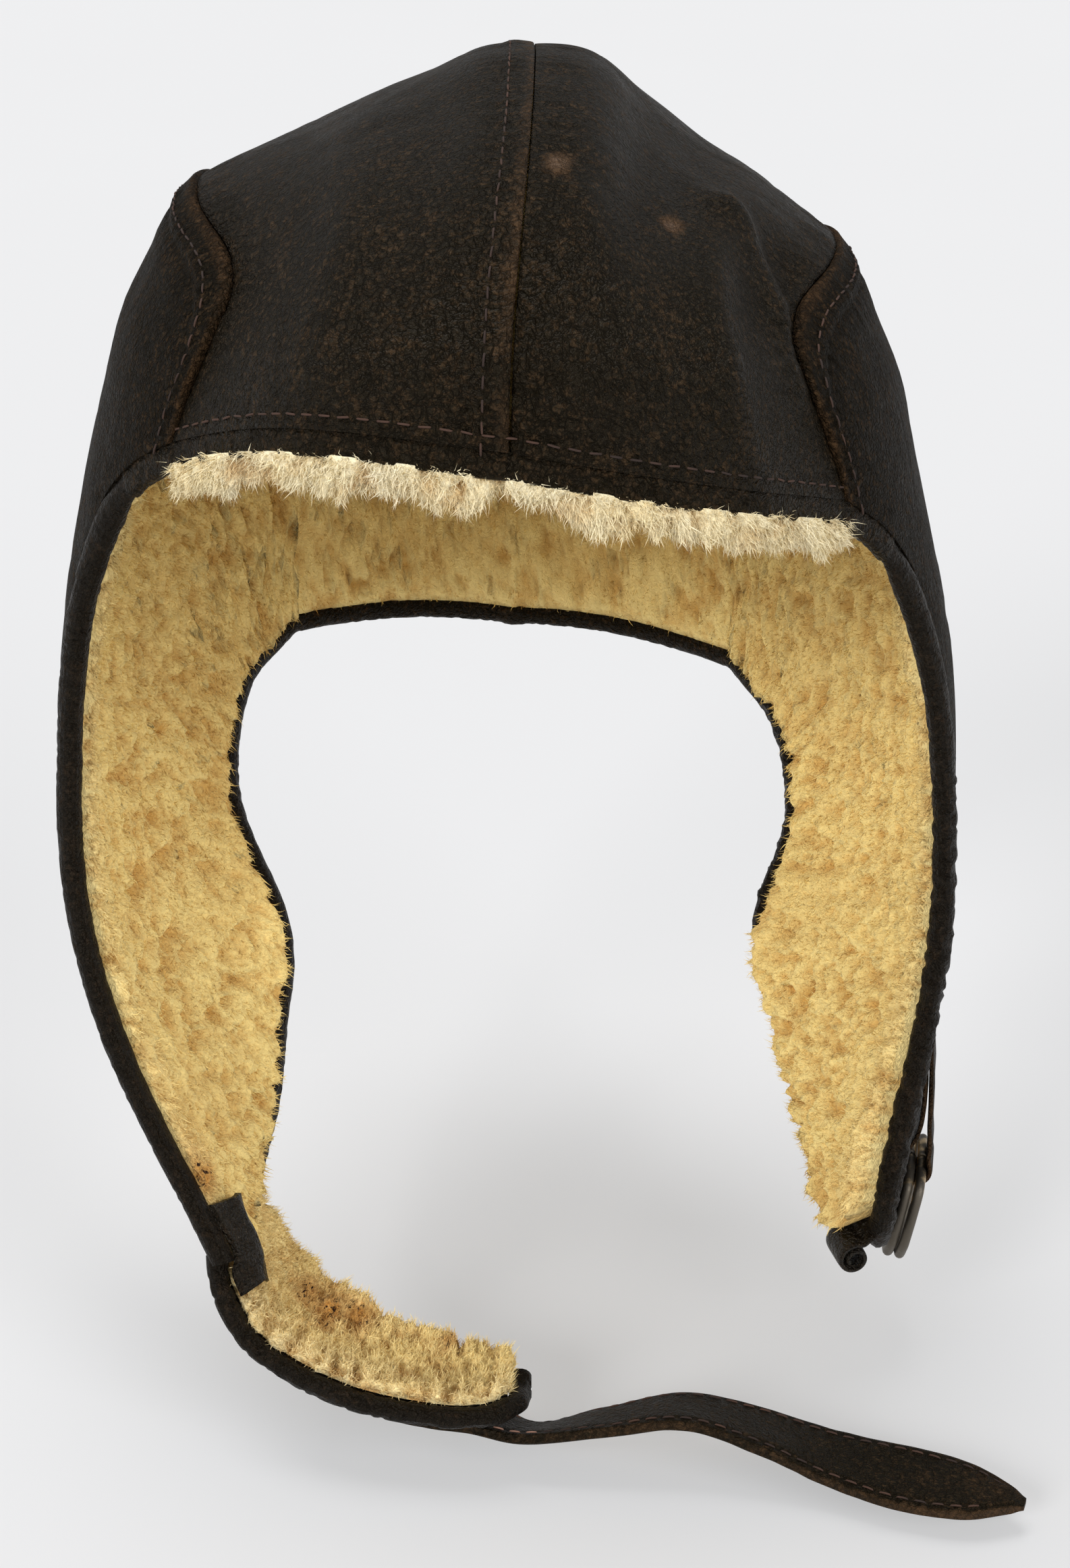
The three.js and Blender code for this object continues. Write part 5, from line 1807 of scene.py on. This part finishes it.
class HELMET_OT_stitching(bpy.types.Operator):
    """Sews the seams, the hem and the strap"""

    bl_idname = "helmet.stitching"
    bl_label = "Stitching"

    def execute(self, context):
        for side, name in NAMES.items():
            crown, _, _ = crown_surface(side)
            panel, _, _ = panel_surface(side)
            lines = [stitch_mesh(*beside(np.swapaxes(crown, 0, 1), 3.2), 1.5, 4)]
            if side == LEFT:
                lines.append(stitch_mesh(*beside(crown, 6.1), 1.7, 5))
            lines.append(stitch_mesh(*beside(panel, 6.4), 1.6, 6))
            points, faces, _ = joined(lines)
            placed(new_object(f"seam_stitches_{name}", points, faces, finish_of("thread")), "hide")
        centre, across, up, width = strap_path()
        keep = along_path(centre) > 6
        lines = []
        for edge in (-1, 1):
            inset = np.maximum(width / 2 - 2.4, 0.4)
            path = centre + scaled(across, edge * inset) + up * (STRAP_THICKNESS / 2 - 0.28)
            lines.append(stitch_mesh(path[keep][:-8], up[keep][:-8], 1.2, 7))
        points, faces, _ = joined(lines)
        placed(new_object("strap_stitches", points, faces, finish_of("thread")), "strap")
        return {"FINISHED"}


# The stage

# The camera's focal length and the picture's height are in the photo's pixels
FOCAL_LENGTH = 4000
PICTURE_HEIGHT = 2324
SENSOR = 36
CAMERA_PLACE = (0, -0.658, 0.127)
CAMERA_TILT = 65
FLOOR_RADIUS = 6
FLOOR_CORNERS = 64

# Name, place, strength, spread in degrees
LAMPS = (
    ("Ceiling", (-0.3, 0.35, 1.5), 2.0, 40),
    ("Left window", (-0.9, -1.2, 0.75), 2.1, 22),
    ("Right window", (1.1, -1.1, 0.75), 1.7, 34),
)


class HELMET_OT_stage(bpy.types.Operator):
    """Sets the pale floor, the soft lights and the camera"""

    bl_idname = "helmet.stage"
    bl_label = "Floor, lights and camera"

    def execute(self, context):
        scene = context.scene
        camera = bpy.data.cameras.new("Camera")
        camera.sensor_fit = "AUTO"
        camera.sensor_width = SENSOR
        camera.lens = FOCAL_LENGTH / PICTURE_HEIGHT * SENSOR
        camera.clip_start = 0.05
        view = bpy.data.objects.new("Camera", camera)
        view.location = CAMERA_PLACE
        view.rotation_euler = (math.radians(CAMERA_TILT), 0, 0)
        scene.collection.objects.link(view)
        scene.camera = view
        scene.view_settings.view_transform = "Standard"

        floor = bpy.data.meshes.new("floor")
        turns = np.linspace(0, 2 * math.pi, FLOOR_CORNERS + 1)[:-1]
        ring = [(FLOOR_RADIUS * math.cos(turn), FLOOR_RADIUS * math.sin(turn), 0) for turn in turns]
        floor.from_pydata(ring, [], [tuple(range(FLOOR_CORNERS))])
        floor.materials.append(finish_of("floor"))
        ground = bpy.data.objects.new("floor", floor)
        ground.location.z = CAD_BOX[0][2] - 0.004
        scene.collection.objects.link(ground)

        world = bpy.data.worlds.new("Studio")
        world.use_nodes = True
        background = world.node_tree.nodes["Background"]
        background.inputs["Color"].default_value = (0.95, 0.97, 1, 1)
        background.inputs["Strength"].default_value = 0.3
        scene.world = world
        for name, place, energy, spread in LAMPS:
            light = bpy.data.lights.new(name, "SUN")
            light.energy = energy
            light.angle = math.radians(spread)
            lamp = bpy.data.objects.new(name, light)
            lamp.location = place
            aim = -unit(np.array(place, float))
            lamp.rotation_euler = (math.acos(-aim[2]), 0, math.atan2(-aim[0], aim[1]))
            scene.collection.objects.link(lamp)
        return {"FINISHED"}


class HELMET_PT_parts(bpy.types.Panel):
    """Lists the helmet's pieces and their settings"""

    bl_idname = "HELMET_PT_parts"
    bl_label = "Flying helmet"
    bl_space_type = "VIEW_3D"
    bl_region_type = "UI"
    bl_category = "Helmet"

    def draw(self, context):
        for group in (context.scene.helmet_colours, context.scene.helmet_sizes):
            for key in group.bl_rna.properties.keys():
                if key not in ("rna_type", "name"):
                    self.layout.prop(group, key)
        for operator in OPERATORS:
            self.layout.operator(operator.bl_idname)


OPERATORS = (
    HELMET_OT_stage,
    HELMET_OT_crown,
    HELMET_OT_ear_panels,
    HELMET_OT_rims,
    HELMET_OT_fleece,
    HELMET_OT_chin_band,
    HELMET_OT_strap,
    HELMET_OT_buckle,
    HELMET_OT_stitching,
)
CLASSES = (HelmetColours, HelmetSizes, *OPERATORS, HELMET_PT_parts)


def register():
    for cls in CLASSES:
        bpy.utils.register_class(cls)
    bpy.types.Scene.helmet_colours = PointerProperty(type=HelmetColours)
    bpy.types.Scene.helmet_sizes = PointerProperty(type=HelmetSizes)


def unregister():
    del bpy.types.Scene.helmet_sizes
    del bpy.types.Scene.helmet_colours
    for cls in reversed(CLASSES):
        bpy.utils.unregister_class(cls)


def main():
    register()
    bpy.ops.helmet.stage()
    bpy.ops.helmet.crown()
    bpy.ops.helmet.ear_panels()
    bpy.ops.helmet.rims()
    bpy.ops.helmet.fleece()
    bpy.ops.helmet.chin_band()
    bpy.ops.helmet.strap()
    bpy.ops.helmet.buckle()
    bpy.ops.helmet.stitching()


if __name__ == "__main__":
    main()
